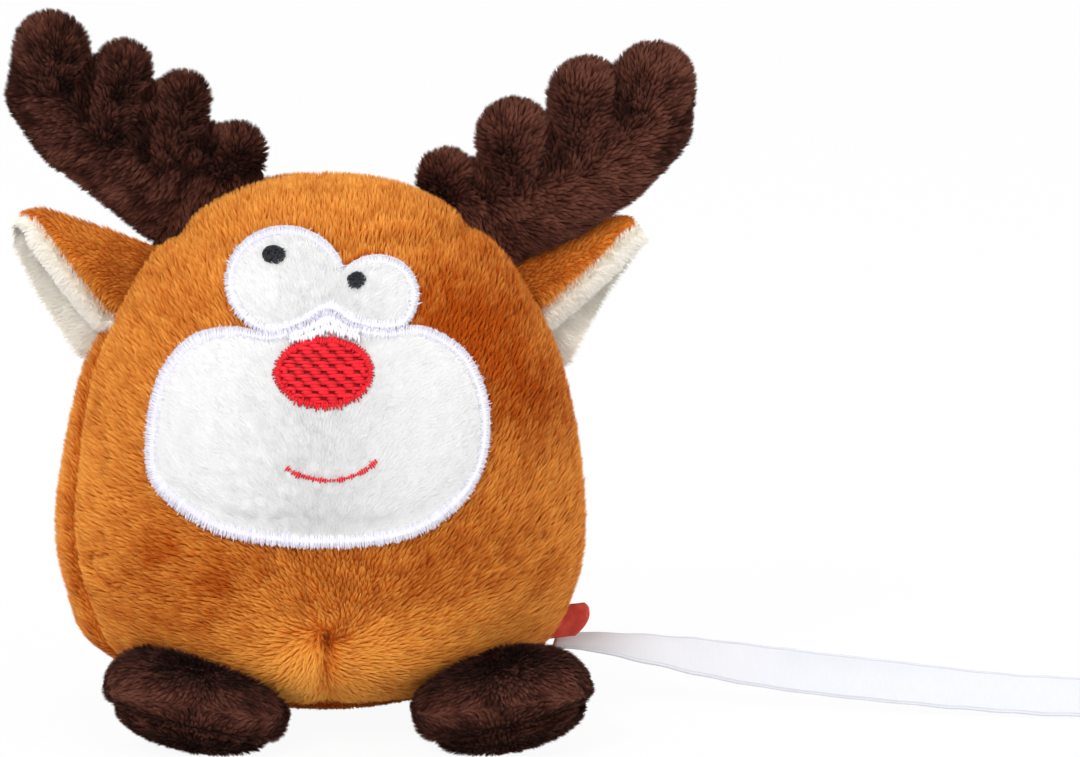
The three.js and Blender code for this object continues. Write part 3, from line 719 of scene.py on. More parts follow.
# %% Form of the ball
body_width, body_depth, body_height, base_cut = 71.0, 66.0, 73.0, 0.5
depth_share = body_depth / body_width
outline_shares = [
    (0, 0), (0.22, 0.004), (0.385, 0.019), (0.55, 0.043), (0.71, 0.076), (0.85, 0.117),
    (0.937, 0.17), (0.986, 0.257), (1, 0.351), (0.989, 0.446), (0.956, 0.554), (0.893, 0.668),
    (0.795, 0.761), (0.674, 0.854), (0.493, 0.93), (0.274, 0.981), (0, 1)]
seam_y, seam_height = -2.0, 40.0
seam_turn, seam_lean = math.tan(math.radians(12)), math.tan(math.radians(11))
seam_normal = unit(np.array((-seam_turn, 1, -seam_lean)))
seam_point = np.array((0, seam_y, seam_height))
base_radius = 20.0
ball_steps = 400
ball_line = smooth_line([(across * body_width / 2, up * (body_height + base_cut) - base_cut)
                         for across, up in outline_shares], ball_steps)
ball_way = unit(np.gradient(ball_line, axis=0))


def seam_depth(x, z):
    return seam_y + seam_turn * x + seam_lean * (z - seam_height)


def at_height(z, values):
    """What the ball's outline says at a height."""
    return np.interp(z, ball_line[:, 1], values)


def ball_normal(points):
    x, y, z = np.moveaxis(points, -1, 0)
    out, up = at_height(z, ball_way[:, 1]), at_height(z, -ball_way[:, 0])
    round_y = y / depth_share
    radius = np.maximum(np.hypot(x, round_y), 1e-6)
    return unit(np.stack([out * x / radius, out * round_y / radius / depth_share, up], axis=-1))


def on_front(flat, growth):
    """Points of the front view on the ball grown by a distance."""
    x, z = np.moveaxis(flat, -1, 0)
    y = -depth_share * np.sqrt(np.maximum(at_height(z, ball_line[:, 0]) ** 2 - x ** 2, 0.01))
    facing = np.maximum(-ball_normal(np.stack([x, y, z], axis=-1))[..., 1], 0.35)
    return np.stack([x, y - growth / facing, z], axis=-1)


print("ball:", body_width, "by", body_depth, "by", body_height, "mm")

# %% [markdown]
# ## Outlines of the face
# The two white patches and their borders are drawn as seen from the front. Each outline can be
# seen whole from a point inside it, so it is kept as a distance for every direction. That makes
# it easy to grow, to shrink, to fill with rings and to ask whether a strand of pile is inside.


# %% Face outlines
class Outline:
    """A closed line in the front view, kept as its distance from a middle point."""

    angles = np.linspace(-math.pi, math.pi, 720, endpoint=False)

    def __init__(self, middle, line=None, inside=None):
        self.middle = np.array(middle, float)
        if line is None:
            out = np.arange(0, 40, 0.02)
            at = self.middle + out[:, None] * around(self.angles)[:, None]
            self.far = out[np.argmax(~inside(at), axis=1)]
        else:
            x, z = (line - self.middle).T
            order = np.argsort(np.arctan2(z, x))
            self.far = np.interp(self.angles, np.arctan2(z, x)[order], np.hypot(x, z)[order],
                                 period=2 * math.pi)

    def far_at(self, angles):
        return np.interp(angles, self.angles, self.far, period=2 * math.pi)

    def beyond(self, flat):
        """How far outside the line points are, and less than zero inside it."""
        x, z = np.moveaxis(flat - self.middle, -1, 0)
        return np.hypot(x, z) - self.far_at(np.arctan2(z, x))

    def loop(self):
        dense = self.middle + self.far[:, None] * around(self.angles)
        return np.vstack([dense, dense[:1]])

    def length(self):
        return gone_along(self.loop())[-1]

    def line(self, steps):
        """Even steps along the line, and the way out of it at each."""
        even = even_steps(self.loop(), steps)[:-1]
        along = unit(np.roll(even, -1, axis=0) - np.roll(even, 1, axis=0))
        return even, np.column_stack([along[:, 1], -along[:, 0]])


face_x, muzzle_z, muzzle_half_width, muzzle_half_height = -0.1, 42.8, 23.1, 14.4
muzzle_shares = [
    (-0.465, 0.98), (-0.65, 0.93), (-0.77, 0.825), (-0.885, 0.61), (-0.96, 0.34), (-1, -0.03),
    (-0.995, -0.34), (-0.93, -0.55), (-0.76, -0.75), (-0.555, -0.89), (-0.265, -0.96),
    (0.05, -0.985), (0.4, -0.96), (0.655, -0.85), (0.855, -0.62), (0.965, -0.32), (1, 0.03),
    (0.965, 0.395), (0.87, 0.695), (0.74, 0.87), (0.585, 0.98), (0.39, 0.97), (0.195, 1.04),
    (0.07, 1.14), (-0.065, 1.04), (-0.27, 0.95)]
eye_ovals = [(-4.4, 62.4, 8.2, 6.7), (7.6, 60.5, 5.9, 5.2), (2.4, 60.2, 4.1, 3.7)]
nose_oval = (0.95, 51.5, 6.75, 4.65)
pupil_ovals = {"left": (-5.95, 65.9, 1.7, 1.2), "right": (5.15, 62.95, 1.4, 1.05)}


def oval_share(flat, oval):
    """Zero at an oval's middle and one on its edge."""
    return np.linalg.norm((flat - oval[:2]) / np.array(oval[2:]), axis=-1)


muzzle_line = Outline((face_x, muzzle_z), line=smooth_line(
    np.array(muzzle_shares) * (muzzle_half_width, muzzle_half_height) + (face_x, muzzle_z),
    400, closed=True))
eye_line = Outline((2.9, 63.3), inside=lambda at: np.any(
    [oval_share(at, oval) < 1 for oval in eye_ovals], axis=0) & (muzzle_line.beyond(at) > -0.5))
nose_line = Outline(nose_oval[:2], inside=lambda at: oval_share(at, nose_oval) < 1)
print("muzzle border:", round(muzzle_line.length()), "mm round")

# %% [markdown]
# ## How the pile is combed
# On this toy the pile points upwards over most of the ball, and leans out to the left low on the
# left side and to the right low on the right. Round the dart at the chin it fans out and down. A
# few guides say the direction at places in the front view, and every point of the cloth takes a
# weighted mean of them. Painted light and shade, pale and dark areas where the pile lies flat or
# stands towards the viewer, are placed the same way.

# %% Comb and shade of the ball
dart_x, crown_dart_x, guide_reach, out_of_reach = 0.9, -0.6, 6.5, 99.0
comb_guides = [
    (-19, 66, -0.35, 0.95), (0, 73, 0, 1), (14, 69, 0.1, 1), (27, 55, 0.25, 1),
    (31, 40, 0.1, 1), (30, 26, 0.25, 1), (27, 15, 0.9, 0.35), (15, 17, 0.5, 0.3),
    (6, 11, 0.7, -0.1), (-2, 10, -0.8, -0.1), (-6, 18, -0.6, 0.8), (-12, 14, -0.95, 0.3),
    (-20, 20, -0.95, 0.35), (-27, 30, -0.85, 0.5), (-31, 43, -0.75, 0.65),
    (-29, 18, -0.9, 0.4), (-26, 56, -0.6, 0.8), (0, 25, -0.1, 0.8), (14, 26, 0.15, 0.9)]
# Painted light and shade: each spot's place, size and how much paler (above zero) or darker it paints the
# pile
painted_light_and_shade_spots = [
    (17, 57, 4.5, -0.45), (22, 53, 4, -0.45), (27, 47, 3.5, -0.4), (30, 43, 3, -0.25),
    (-21, 27, 2.5, -0.35), (-11, 24.5, 3, -0.2), (-16, 20, 6, -0.22), (-2, 25.5, 2.5, -0.12),
    (2, 22, 2.5, -0.12), (11, 21, 4, -0.12), (1.1, 16.2, 0.7, -0.45), (2.3, 15.9, 0.6, -0.4),
    (20, 25, 4, -0.15), (-29, 18, 2.5, -0.2), (-33, 35, 5, 0.25), (-31, 22, 4, 0.2),
    (34, 32, 4, 0.3), (33, 50, 3, 0.3), (-13, 13, 4, 0.15), (-3, 10, 4, 0.35), (24, 14, 5, 0.25),
    (5, 73, 9, 0.2), (-12, 70, 6, 0.15), (-26, 48, 5, 0.1), (33, 20, 4, 0.25), (20, 34, 3, 0.1),
    (7, 12, 4, 0.15), (14, 15, 4, 0.2), (-28.6, 22.6, 0.9, 0.25), (-31.6, 21.3, 0.9, 0.2),
    (-30, 19.9, 0.9, 0.2), (29.5, 20, 1.6, -0.3), (-0.7, 13, 1.1, 0.3), (-1.4, 10, 1.6, 0.3),
    (0, 19, 6, 0.25), (7, 13, 4, 0.12), (2, 5, 6, 0.3), (28, 30, 9, 0.12), (20, 14, 6, 0.1)]
crease_lines = [
    [(-28.5, 24.4), (-29.7, 24.4), (-30.6, 23.8), (-30.2, 22.7), (-29.4, 21.8), (-28.4, 21.1),
     (-27.3, 20.7), (-26.2, 20.5)],
    [(1.0, 16.4), (1.1, 15), (1.0, 13), (0.7, 11), (0.4, 9)]]


def ball_comb(places):
    x, y, z = places.T
    guides = np.array(comb_guides, float)
    far = ((places[:, None, ::2] - guides[:, :2]) ** 2).sum(-1)
    weight = np.exp(-far / (2 * guide_reach ** 2)) + 1e-7
    across, up = unit(weight @ guides[:, 2:] / weight.sum(1, keepdims=True)).T
    way = np.column_stack([across, 0 * x + 0.2, up])
    side = np.sign(x - dart_x)
    by_dart = (1 - smooth_step(z, 14, 19)) * near(x - dart_x, np.where(side < 0, 8, 5.5))
    turn = np.where(side < 0, np.arctan2(dart_x - x, z - 18),
                    np.radians(np.interp(z, (6, 12, 17), (150, 95, 83))))
    hanging = 1 - smooth_step(z, 4, 9)
    for share, new_way in ((by_dart, (side * np.sin(turn), 0 * x, np.cos(turn))),
                           (hanging, (side * 0.5, 0 * x, 0 * x - 1))):
        way += share[:, None] * (np.column_stack(new_way) - way)
    behind = smooth_step(y, -8, 8)[:, None]
    return way * (1 - behind) + np.array((0, 0.35, 1)) * behind


def ball_shade(places):
    x, y, z = places.T
    # Painted shade: the pile's tone is darker on the right side, and the spots add painted light and shade
    shade = 0.6 - 0.1 * smooth_step(x, -5, 20) * (y < 5)
    for at_x, at_z, size, amount in painted_light_and_shade_spots:
        far = (x - at_x) ** 2 + (z - at_z) ** 2
        shade += amount * np.exp(-far / (2 * size ** 2)) * (y < 5)
    return shade


# %% [markdown]
# ## Dressing a piece of cloth
# Every plush piece is dressed the same way: its surface says how the pile lies, it is given the
# thickness of backing cloth inwards, and the pile tree grows on its outer side.


# %% Dress a cloth
def cut_away(piece, point, normal):
    """Removes what lies on the side of a plane that its normal points to."""
    with opened(piece) as shape:
        bmesh.ops.bisect_plane(
            shape, geom=shape.verts[:] + shape.edges[:] + shape.faces[:], dist=1e-7,
            plane_co=Vector(point) * mm, plane_no=Vector(normal), clear_outer=True)


def part_of(piece, name, *planes):
    """A copy without what lies on the side of each plane that its normal points to."""
    twin = bpy.data.objects.new(name, piece.data.copy())
    twin.data.name = name
    bpy.context.collection.objects.link(twin)
    for plane in planes:
        cut_away(twin, *plane)
    return twin


def dress(piece, finish, seed, comb, shade, grows, pile, backing=1.0, lay=1.0, **sizes):
    """Grows pile on a cloth; lay is how flat the pile lies the way it is combed."""
    _, normals = points_of(piece)
    flat = comb - (comb * normals).sum(1, keepdims=True) * normals
    strength = lay * np.clip(np.linalg.norm(flat, axis=1), 0.25, 1)
    ones = np.ones(len(normals))
    keep_values(piece, comb=unit(flat) * strength[:, None], outwards=normals,
                shade=shade * ones, grows=grows * ones, pile=pile * ones)
    modify(piece, "SOLIDIFY", thickness=backing * mm, offset=-1)
    values = {pile_inputs[key][0]: value * pile_inputs[key][1] for key, value in sizes.items()}
    run_tree(piece, pile_plan, {**values, "Seed": seed, "Finish": finish})
    piece.data.shade_smooth()
    print(f"{piece.name}: {sum(len(f.vertices) - 2 for f in piece.data.polygons)} triangles")
    return piece


def declare(piece, slot, fill, *solids):
    """Hides the solids that a sewn skin stands for; its slot and fill are not used."""
    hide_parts(*solids)


# %% [markdown]
# ## The panels of the ball
# The ball is sewn from a front panel, two back panels and a round panel underneath. All are cut
# from one fine surface along the seams. Near a seam the cloth rolls inwards, which leaves the
# shallow groove that the pile almost hides.

# %% Ball panels
ball_rows, ball_sides = 115, 216
ball_pile = dict(length=1.45, rise=0.8, tuft=0.42, cling=0.55, ruffle=1.3, ruffle_size=1.1,
                 speckle=0.17, patches=1.1, patch_size=3.0)


def settle(points):
    """The stuffed ball as it sits: lifted a little in front, drawn in on the right, most of
    all low down, and a little fuller on the left."""
    x, y, z = points.T
    lift = 1.5 * (1 - smooth_step(z, 1, 16)) * smooth_step(-y, -6, 6)
    drawn = smooth_step(x, 8, 32) * (0.35 + 0.7 * near(z - 12, 6)) * (1 - smooth_step(z, 42, 56))
    spread = smooth_step(-x, 18, 33) * 0.6 * (near(z - 26, 9) + near(z - 10, 4))
    return np.column_stack([x - drawn - spread, y, z + lift])


def ball_surface(name, low, high):
    """The ball's surface between two shares of its outline."""
    dense = ball_line[int(low * ball_steps):int(high * ball_steps) + 1]
    rows = max(3, round(ball_rows * (high - low)))
    places = np.linspace(0, len(dense) - 1, rows)
    radius, up = (np.interp(places, np.arange(len(dense)), part)[:, None] for part in dense.T)
    cosine, sine = around(np.linspace(0, 2 * math.pi, ball_sides, endpoint=False)).T
    points = np.stack(np.broadcast_arrays(
        radius * cosine, depth_share * radius * sine, np.maximum(up, 0)), axis=-1)
    return face_outwards(make_mesh(name, settle(points.reshape(-1, 3)),
                                   row_faces(rows, ball_sides, loop=True)))


def sink_seams(piece, *seams):
    """Rolls the cloth inwards near seams, each with a depth and a half width."""
    places, normals = points_of(piece)
    for distance, depth, width in seams:
        places = places - normals * (depth * near(distance(places), width))[:, None]
    move_points(piece, places)


def side_seam(places):
    return (places - seam_point) @ seam_normal


def back_seam(places):
    return np.where(places[:, 1] > -5, places[:, 0], out_of_reach)


def base_seam(places):
    return np.hypot(places[:, 0], places[:, 1] / depth_share) - base_radius


def off_stretch(flat, start, reach):
    """Each point's share along a straight stretch, and its way off the stretch there."""
    share = np.clip((flat - start) @ reach / (reach @ reach), 0, 1)
    return share, flat - start - share[:, None] * reach


def creases(places):
    """How far each point of the front lies from the nearest crease, seen from the front."""
    stretches = [(first, last - first) for line in map(np.array, crease_lines)
                 for first, last in zip(line[:-1], line[1:])]
    far = np.min([np.linalg.norm(off_stretch(places[:, ::2], *stretch)[1], axis=1)
                  for stretch in stretches], axis=0)
    return np.where(places[:, 1] < 0, far, out_of_reach)


def darts(places):
    x, y, z = places.T
    off_ends = np.minimum(np.maximum(z - 14, 0), np.maximum(68 - z, 0)) / 3
    across = np.abs(x - np.where(z < 40, dart_x, crown_dart_x))
    return np.where(y < 0, across * 1.2 + off_ends, out_of_reach)


def refine(piece, distance, reach, cuts):
    """Divides the cloth more finely within reach of a line."""
    with opened(piece) as shape:
        middles = np.array([(e.verts[0].co + e.verts[1].co) / 2 for e in shape.edges]) / mm
        chosen = np.abs(distance(middles)) < reach
        bmesh.ops.subdivide_edges(
            shape, edges=[edge for edge, inside in zip(shape.edges, chosen) if inside],
            cuts=cuts, use_grid_fill=True)


def make_panels():
    join_share = np.argmax(ball_line[:, 0] > base_radius) / ball_steps
    wall = ball_surface("wall", join_share, 1.0)
    before_seam = (seam_point, -seam_normal)
    panels = {"front_panel": [(seam_point, seam_normal)],
              "back_panel_left": [before_seam, ((0, 0, 0), (1, 0, 0))],
              "back_panel_right": [before_seam, ((0, 0, 0), (-1, 0, 0))]}
    made = {}
    for seed, (name, planes) in enumerate(panels.items()):
        piece, front = part_of(wall, name + "_plush", *planes), name == "front_panel"
        refine(piece, side_seam, 1.6, 1)
        if front:
            refine(piece, creases, 1.4, 2)
        own_seams = [(darts, 0.6, 1.1), (creases, 0.5, 0.5)] if front else [(back_seam, 1.5, 1.5)]
        sink_seams(piece, (side_seam, 2.1, 1.3), (base_seam, 1.0, 1.5), *own_seams)
        places, _ = points_of(piece)
        x, y, z = places.T
        in_crease = near(creases(places), 0.42)
        in_seam, by_seam = (near(side_seam(places), wide) for wide in (0.8, 2.4))
        comb = ball_comb(places) * (1 - by_seam[:, None]) + by_seam[:, None] * (0, 0, 1)
        # Painted shade in the seam groove and in the creases; painted light on the front panel's rim by the
        # side seam and painted shade on the back panels beside it
        shade = ball_shade(places) - 1.1 * in_seam + (0.45 if front else -0.35) * by_seam \
            - 0.5 * in_crease
        grows = np.minimum(z - 0.4, 1)
        if front:
            outside = np.minimum(*(line.beyond(places[:, ::2])
                                   for line in (muzzle_line, eye_line))) + 1.4
            grows = np.minimum(grows, np.where(y < 0, outside, 1))
        pile = np.where(y < -6, 1, np.clip(0.4 + z / 9, 0.4, 1)) \
            * (1 - 0.5 * by_seam) * (1 - 0.5 * in_crease)
        made[name] = dress(
            piece, orange_pile, 10 * seed + 1, comb, shade, grows, pile,
            lay=1 + 1.6 * (1 - smooth_step(z, 9, 22)) * (y < 0),
            density=46 if front else 26, width=0.12 if front else 0.18, **ball_pile)
    bpy.data.objects.remove(wall)
    base = ball_surface("base_panel_plush", 0.0, join_share)
    sink_seams(base, (base_seam, 1.0, 1.5))
    places, _ = points_of(base)
    # The pile underneath is painted paler than the ball's: painted light against the shade under the ball
    made["base_panel"] = dress(
        base, orange_pile, 41, places * (1, 1, 0) + (0.01, 0, 0), 0.95, places[:, 2] - 0.3, 0.5,
        density=8, width=0.25, **ball_pile)
    return made


for name, piece in make_panels().items():
    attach(piece, "body")
    declare(piece, "orange_plush", 0.85, name,
            *(["body_stuffing"] if name == "front_panel" else []))
# %% [markdown]
# ## Antlers
# Each antler is two lobed panels sewn face to face and stuffed hard, so its lobes are round and
# its outline is soft. Balls set close together along a few tapering stretches melt into that
# skin. It is pressed a little flat, pinched towards the seam of the head, and split where its
# two panels meet.

# %% Antlers
antler_length, antler_flat, antler_root_half, antler_swell = 34.0, 0.82, 1.2, 9.0
antler_nap = 1.05
ball_step = 0.7
brown_fur = dict(backing=0.6, width=0.1, tuft=0.4, cling=0.5, ruffle=1.3, ruffle_size=1.1,
                 speckle=0.25, patches=1.5)
# Each stretch of a trunk or lobe: across, up and radius where it starts and where it ends, as
# shares of the antler's length
# Each antler's shade is painted light: the right antler, which the light falls on, is painted paler
antlers = {
    "left": {"side": -1, "root": (-15.1, 68.2), "slope": 31.9, "out": (0.75, 0.45),
             "shade": 0.42, "trunk": [
        (0.08, 0.138, 0.153, -0.142, 0, 0.169), (-0.142, 0, 0.169, -0.361, 0.199, 0.177),
        (0, 0.12, 0.165, -0.361, 0.199, 0.177), (-0.361, 0.199, 0.177, -0.548, 0.34, 0.177),
        (-0.548, 0.34, 0.177, -0.658, 0.486, 0.169)], "lobes": [
        (-0.658, 0.486, 0.169, -0.638, 0.668, 0.16),
        (0.05, 0.138, 0.15, 0.101, 0.251, 0.133), (-0.2, 0.2, 0.15, -0.114, 0.47, 0.121),
        (-0.45, 0.33, 0.16, -0.349, 0.59, 0.125), (-0.5, 0.4, 0.12, -0.485, 0.55, 0.1),
        (-0.26, 0.3, 0.12, -0.235, 0.45, 0.1), (-0.08, 0.2, 0.12, -0.01, 0.28, 0.1)]},
    "right": {"side": 1, "root": (18.1, 64.6), "slope": 38.5, "out": (0.4, 0.85),
              "shade": 0.76, "trunk": [
        (0.073, 0.112, 0.135, -0.17, 0.02, 0.18), (-0.17, 0.02, 0.18, -0.398, 0.148, 0.2),
        (0, 0.1, 0.15, -0.398, 0.148, 0.2), (-0.398, 0.148, 0.2, -0.62, 0.282, 0.19),
        (-0.62, 0.282, 0.19, -0.768, 0.438, 0.19)], "lobes": [
        (-0.768, 0.438, 0.19, -0.79, 0.605, 0.182),
        (0.03, 0.112, 0.14, 0.045, 0.222, 0.135), (-0.27, 0.17, 0.15, -0.232, 0.394, 0.165),
        (-0.52, 0.27, 0.165, -0.522, 0.562, 0.166), (-0.7, 0.4, 0.13, -0.665, 0.56, 0.1),
        (-0.41, 0.25, 0.13, -0.38, 0.38, 0.105), (-0.13, 0.15, 0.12, -0.1, 0.22, 0.1)]}}


def ball_chain(name, stretches):
    """Balls set close together along tapering stretches of the XZ plane."""
    shape = bmesh.new()
    bmesh.ops.create_icosphere(shape, subdivisions=3, radius=1)
    ball = np.array([v.co for v in shape.verts])
    faces = np.array([[v.index for v in f.verts] for f in shape.faces])
    shape.free()
    points, triangles = [], []
    for first, last in stretches:
        steps = 2 + int(np.hypot(*(last - first)[:2]) / ball_step)
        for x, z, radius in np.linspace(first, last, steps):
            triangles.append(faces + len(points) * len(ball))
            points.append(ball * radius + (x, 0, z))
    return make_mesh(name, np.vstack(points), np.vstack(triangles).tolist())


def antler_lie(antler, stretches, places):
    """How the pile lies at each point, and how deep in a crease between two lobes it is."""
    trunks = len(antler["trunk"])
    ways, nearest = np.zeros_like(places), np.full(len(places), out_of_reach)
    on_lobe = np.full((5, len(places)), out_of_reach)
    for k, (first, last) in enumerate(stretches):
        reach, radius = (last - first)[:2], first[2]
        share, off = off_stretch(places[:, ::2], first[:2], reach)
        far = np.linalg.norm(off, axis=1) / (radius + (last[2] - radius) * share)
        forward = unit(reach)
        if k < trunks:
            aside = antler["side"] * np.array((forward[1], -forward[0]))
            way = off / radius * 0.3 + antler["out"][0] * aside + antler["out"][1] * forward
        else:
            way = off / radius * 0.6 + forward * 0.45 + (antler["side"] * 0.25, 0)
        lobe = max(0, k - trunks + 1)
        if lobe < len(on_lobe):
            on_lobe[lobe] = np.minimum(on_lobe[lobe], far)
        closer = far < nearest
        ways[closer, ::2] = way[closer]
        nearest = np.minimum(nearest, far)
    closest = np.sort(on_lobe, axis=0)
    return ways, near(closest[1] - closest[0], 0.3) * (closest[0] > 0.4)


def sewn_on(piece, limb, start, end):
    """The piece's root stays on the body while the rest moves with its limb."""
    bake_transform(piece, "body", limb, start=tuple(start * mm), end=tuple(end * mm))


def make_antler(side_name, antler, seed):
    side, slope = antler["side"], math.radians(antler["slope"])
    root = np.array((antler["root"][0], seam_depth(*antler["root"]), antler["root"][1]))
    growth_way = np.array((side * math.sin(slope), 0, math.cos(slope)))
    stretches = np.array(antler["trunk"] + antler["lobes"]).reshape(-1, 2, 3) * antler_length
    stretches = stretches * (-side, 1, 1) - (0, 0, antler_nap)
    whole = ball_chain("antler", stretches)
    modify(whole, "REMESH", mode="VOXEL", voxel_size=0.6 * mm)
    modify(whole, "SMOOTH", factor=0.5, iterations=5)
    cut_away(applied(whole), -1.5 * growth_way, -growth_way)
    places, _ = points_of(whole)
    ways, in_crease = antler_lie(antler, stretches, places)
    keep_values(whole, way=ways, crease=in_crease)
    root_share = antler_root_half / (stretches[0, 1, 2] * antler_flat)
    swell = smooth_step(places @ growth_way, 0, antler_swell)
    places[:, 1] *= antler_flat * (root_share + (1 - root_share) * swell)
    move_points(whole, places + root)
    for k, (half, normal) in enumerate((("front", (0, 1, 0)), ("back", (0, -1, 0)))):
        piece = part_of(whole, f"antler_{side_name}_{half}_plush", (root, normal))
        kept, rise = piece.data.attributes, (points_of(piece)[0] - root) @ growth_way
        # Painted shade darkens the pile in the creases between the lobes
        dress(piece, brown_pile, seed + 10 * k, read_all(kept["way"].data, "vector", 3),
              antler["shade"] - 0.5 * read_all(kept["crease"].data, "value"), 1.0,
              0.8 + 0.2 * smooth_step(rise, 0, 8),
              density=95, length=1.5, rise=0.65, patch_size=2.2, **brown_fur)
        declare(piece, "brown_plush", 0.9, f"antler_{side_name}_{half}",
                *([f"antler_{side_name}_stuffing"] if half == "front" else []))
        sewn_on(piece, f"antler_{side_name}", root - growth_way, root + 8 * growth_way)
    bpy.data.objects.remove(whole)


for seed, (side_name, antler) in enumerate(antlers.items()):
    make_antler(side_name, antler, 100 + 40 * seed)

# %% [markdown]
# ## Ears
# An ear is a leaf of orange plush sewn to a leaf of cream plush and folded along its top edge.
# The short flap hangs in front and the long one behind, so the cream lining shows between them
# and curls round the front edge as a fluffy lip. One section line, whose flaps change length
# from the root to the tip, gives both layers.

# %% Ears
ear_gap, ear_root_half, ear_half = 0.8, 0.95, 2.1
ear_swell, ear_burial, ear_end = 0.45, 0.14, 0.94
ear_stations, ear_steps = 44, 60
ear_fur = dict(backing=0.45, width=0.11, tuft=0.4)
ears = {
    "left": {"fold": (-23.1, 64.2), "tip": (-42, 70.6), "drop": 236.3, "depth": 18.8,
             "front": [(0, 0.59), (0.24, 0.44), (0.6, 0.2), (0.8, 0.08), (1, 0.03)],
             "back": [(0, 0.97), (0.25, 0.8), (0.5, 0.62), (0.8, 0.35), (0.94, 0.12)]},
    "right": {"fold": (24.4, 59.6), "tip": (43.2, 68.6), "drop": 303.8, "depth": 16,
              "front": [(0, 0.5), (0.43, 0.33), (0.63, 0.25), (0.8, 0.16), (1, 0.07)],
              "back": [(0, 1), (0.25, 0.78), (0.5, 0.57), (0.75, 0.4), (0.94, 0.24)]}}


def ear_frame(ear):
    """Where an ear's fold starts and ends, and the way its flaps hang."""
    fold, tip = (np.insert(ear[end], 1, seam_depth(*ear["fold"])) for end in ("fold", "tip"))
    turn = math.radians(ear["drop"])
    return fold, tip, np.array((math.cos(turn), 0, math.sin(turn)))


def make_ear_layer(name, ear, layer):
    """One layer of the folded leaf; also how far across and along each point lies."""
    start, tip, drop = ear_frame(ear)
    places = np.linspace(-ear_burial, ear_end, ear_stations)
    points = []
    for place in places:
        along = max(place, 0)
        fold = start + place * (tip - start) \
            - np.array((0, 0, 1.3 * (max(place - 0.72, 0) / 0.22) ** 2))
        spread = ear_root_half + (ear_half - ear_root_half) * smooth_step(along, 0, ear_swell)
        front, back = (ear["depth"] * np.interp(along, *zip(*ear[flap]))
                       for flap in ("front", "back"))
        fore, rear = min(spread, 0.2 + front * 0.5), min(spread, back * 0.4)
        if layer == "outer":
            line = [(-fore, front), (-fore, front * 0.6), (-fore * 0.6, front * 0.25), (0, 0),
                    (rear * 0.6, back * 0.12), (rear, back * 0.5), (rear, back - 0.9)]
        else:
            roll = 1.6 * smooth_step(front, 0.0, 2.5)
            hollow = np.interp(place, (0.7, ear_end), (front * 0.8 + back * 0.1, 0.9))
            line = [(-fore - 0.1 * roll, front + 0.1), (-fore - 0.6 * roll, front + 0.8 * roll),
                    (-fore + 0.2, front + 0.2 + 1.5 * roll),
                    (-fore + 0.5 + 0.4 * roll, front + 0.5 * roll), (rear * 0.3, hollow),
                    (rear - ear_gap, front * 0.6 + back * 0.4), (rear - ear_gap, back)]
        section = smooth_line(line, ear_steps)
        points.append(fold + section[:, :1] * (0, 1, 0) + section[:, 1:] * drop)
    piece = make_mesh(name, np.vstack(points), row_faces(ear_stations, ear_steps + 1))
    across = np.tile(np.linspace(-1, 1, ear_steps + 1), ear_stations)
    return piece, across, np.repeat(places, ear_steps + 1)


def make_ear(side_name, ear, seed):
    fold, tip, drop = ear_frame(ear)
    outwards = unit(tip - fold - ((tip - fold) @ drop) * drop)
    for layer, color in (("outer", "orange"), ("inner", "cream")):
        piece, across, along = make_ear_layer(f"ear_{side_name}_{layer}_plush", ear, layer)
        _, normals = points_of(piece)
        middle_of_back = np.argmin(np.abs(across - 0.6) + np.abs(along - 0.5))
        if (normals[middle_of_back][1] > 0) != (layer == "outer"):
            piece.data.flip_normals()
        if layer == "outer":
            hem = smooth_step(-across, 0.7, 0.95)[:, None]
            comb = (1 - hem) * outwards + (0.3 * np.abs(across)[:, None] + hem) * drop
            dress(piece, orange_pile, seed, comb, 0.6 + 0.12 * np.abs(across), 1.0,
                  1 - 0.6 * smooth_step(along, 0.74, 0.92), density=60, length=1.05, rise=0.8,
                  cling=0.5, ruffle=1.1, ruffle_size=0.8, speckle=0.18, patches=1.0,
                  patch_size=2.5, **ear_fur)
        else:
            lip = smooth_step(-across, 0.3, 0.7)[:, None]
            hem = smooth_step(-across, 0.84, 0.96)[:, None]
            comb = (1 - lip) * (0.5 * outwards + 0.7 * drop) \
                + lip * (0.5 * outwards + (1 - 1.8 * hem) * drop)
            dress(piece, cream_pile, seed + 5, comb, 0.75, 1.0, 0.9, density=75, length=1.0,
                  rise=0.55, cling=0.35, ruffle=0.9, ruffle_size=1.5, speckle=0.12,
                  patches=0.4, patch_size=3.0, **ear_fur)
        declare(piece, f"{color}_plush", 0.15, f"ear_{side_name}_{layer}")
        sewn_on(piece, f"ear_{side_name}", fold - outwards, fold + 7 * outwards)


for seed, (side_name, ear) in enumerate(ears.items()):
    make_ear(side_name, ear, 300 + 40 * seed)

# %% [markdown]
# ## Feet
# Each foot is a puffy pad of two pieces, an upper and a sole, that is rolled so that its outer
# end stands higher. The ball presses into it from behind and the table flattens it from below.
# Every point of a round form is drawn towards the middle until it is clear of both.

# %% Feet
foot_halves = np.array((13.0, 10.6, 6.9))
foot_y, foot_z, foot_roll, sole_share, foot_nap = -26.6, 6.4, 14.0, -0.42, 1.2
feet = {"left": (-1, -16.5), "right": (1, 24.5)}


def beyond_ball(places):
    """How far outside the ball each point is."""
    x, y, z = np.moveaxis(places, -1, 0)
    far = np.hypot(x, y / depth_share) - at_height(z, ball_line[:, 0])
    return far * np.linalg.norm(ball_normal(places)[..., :2], axis=-1)


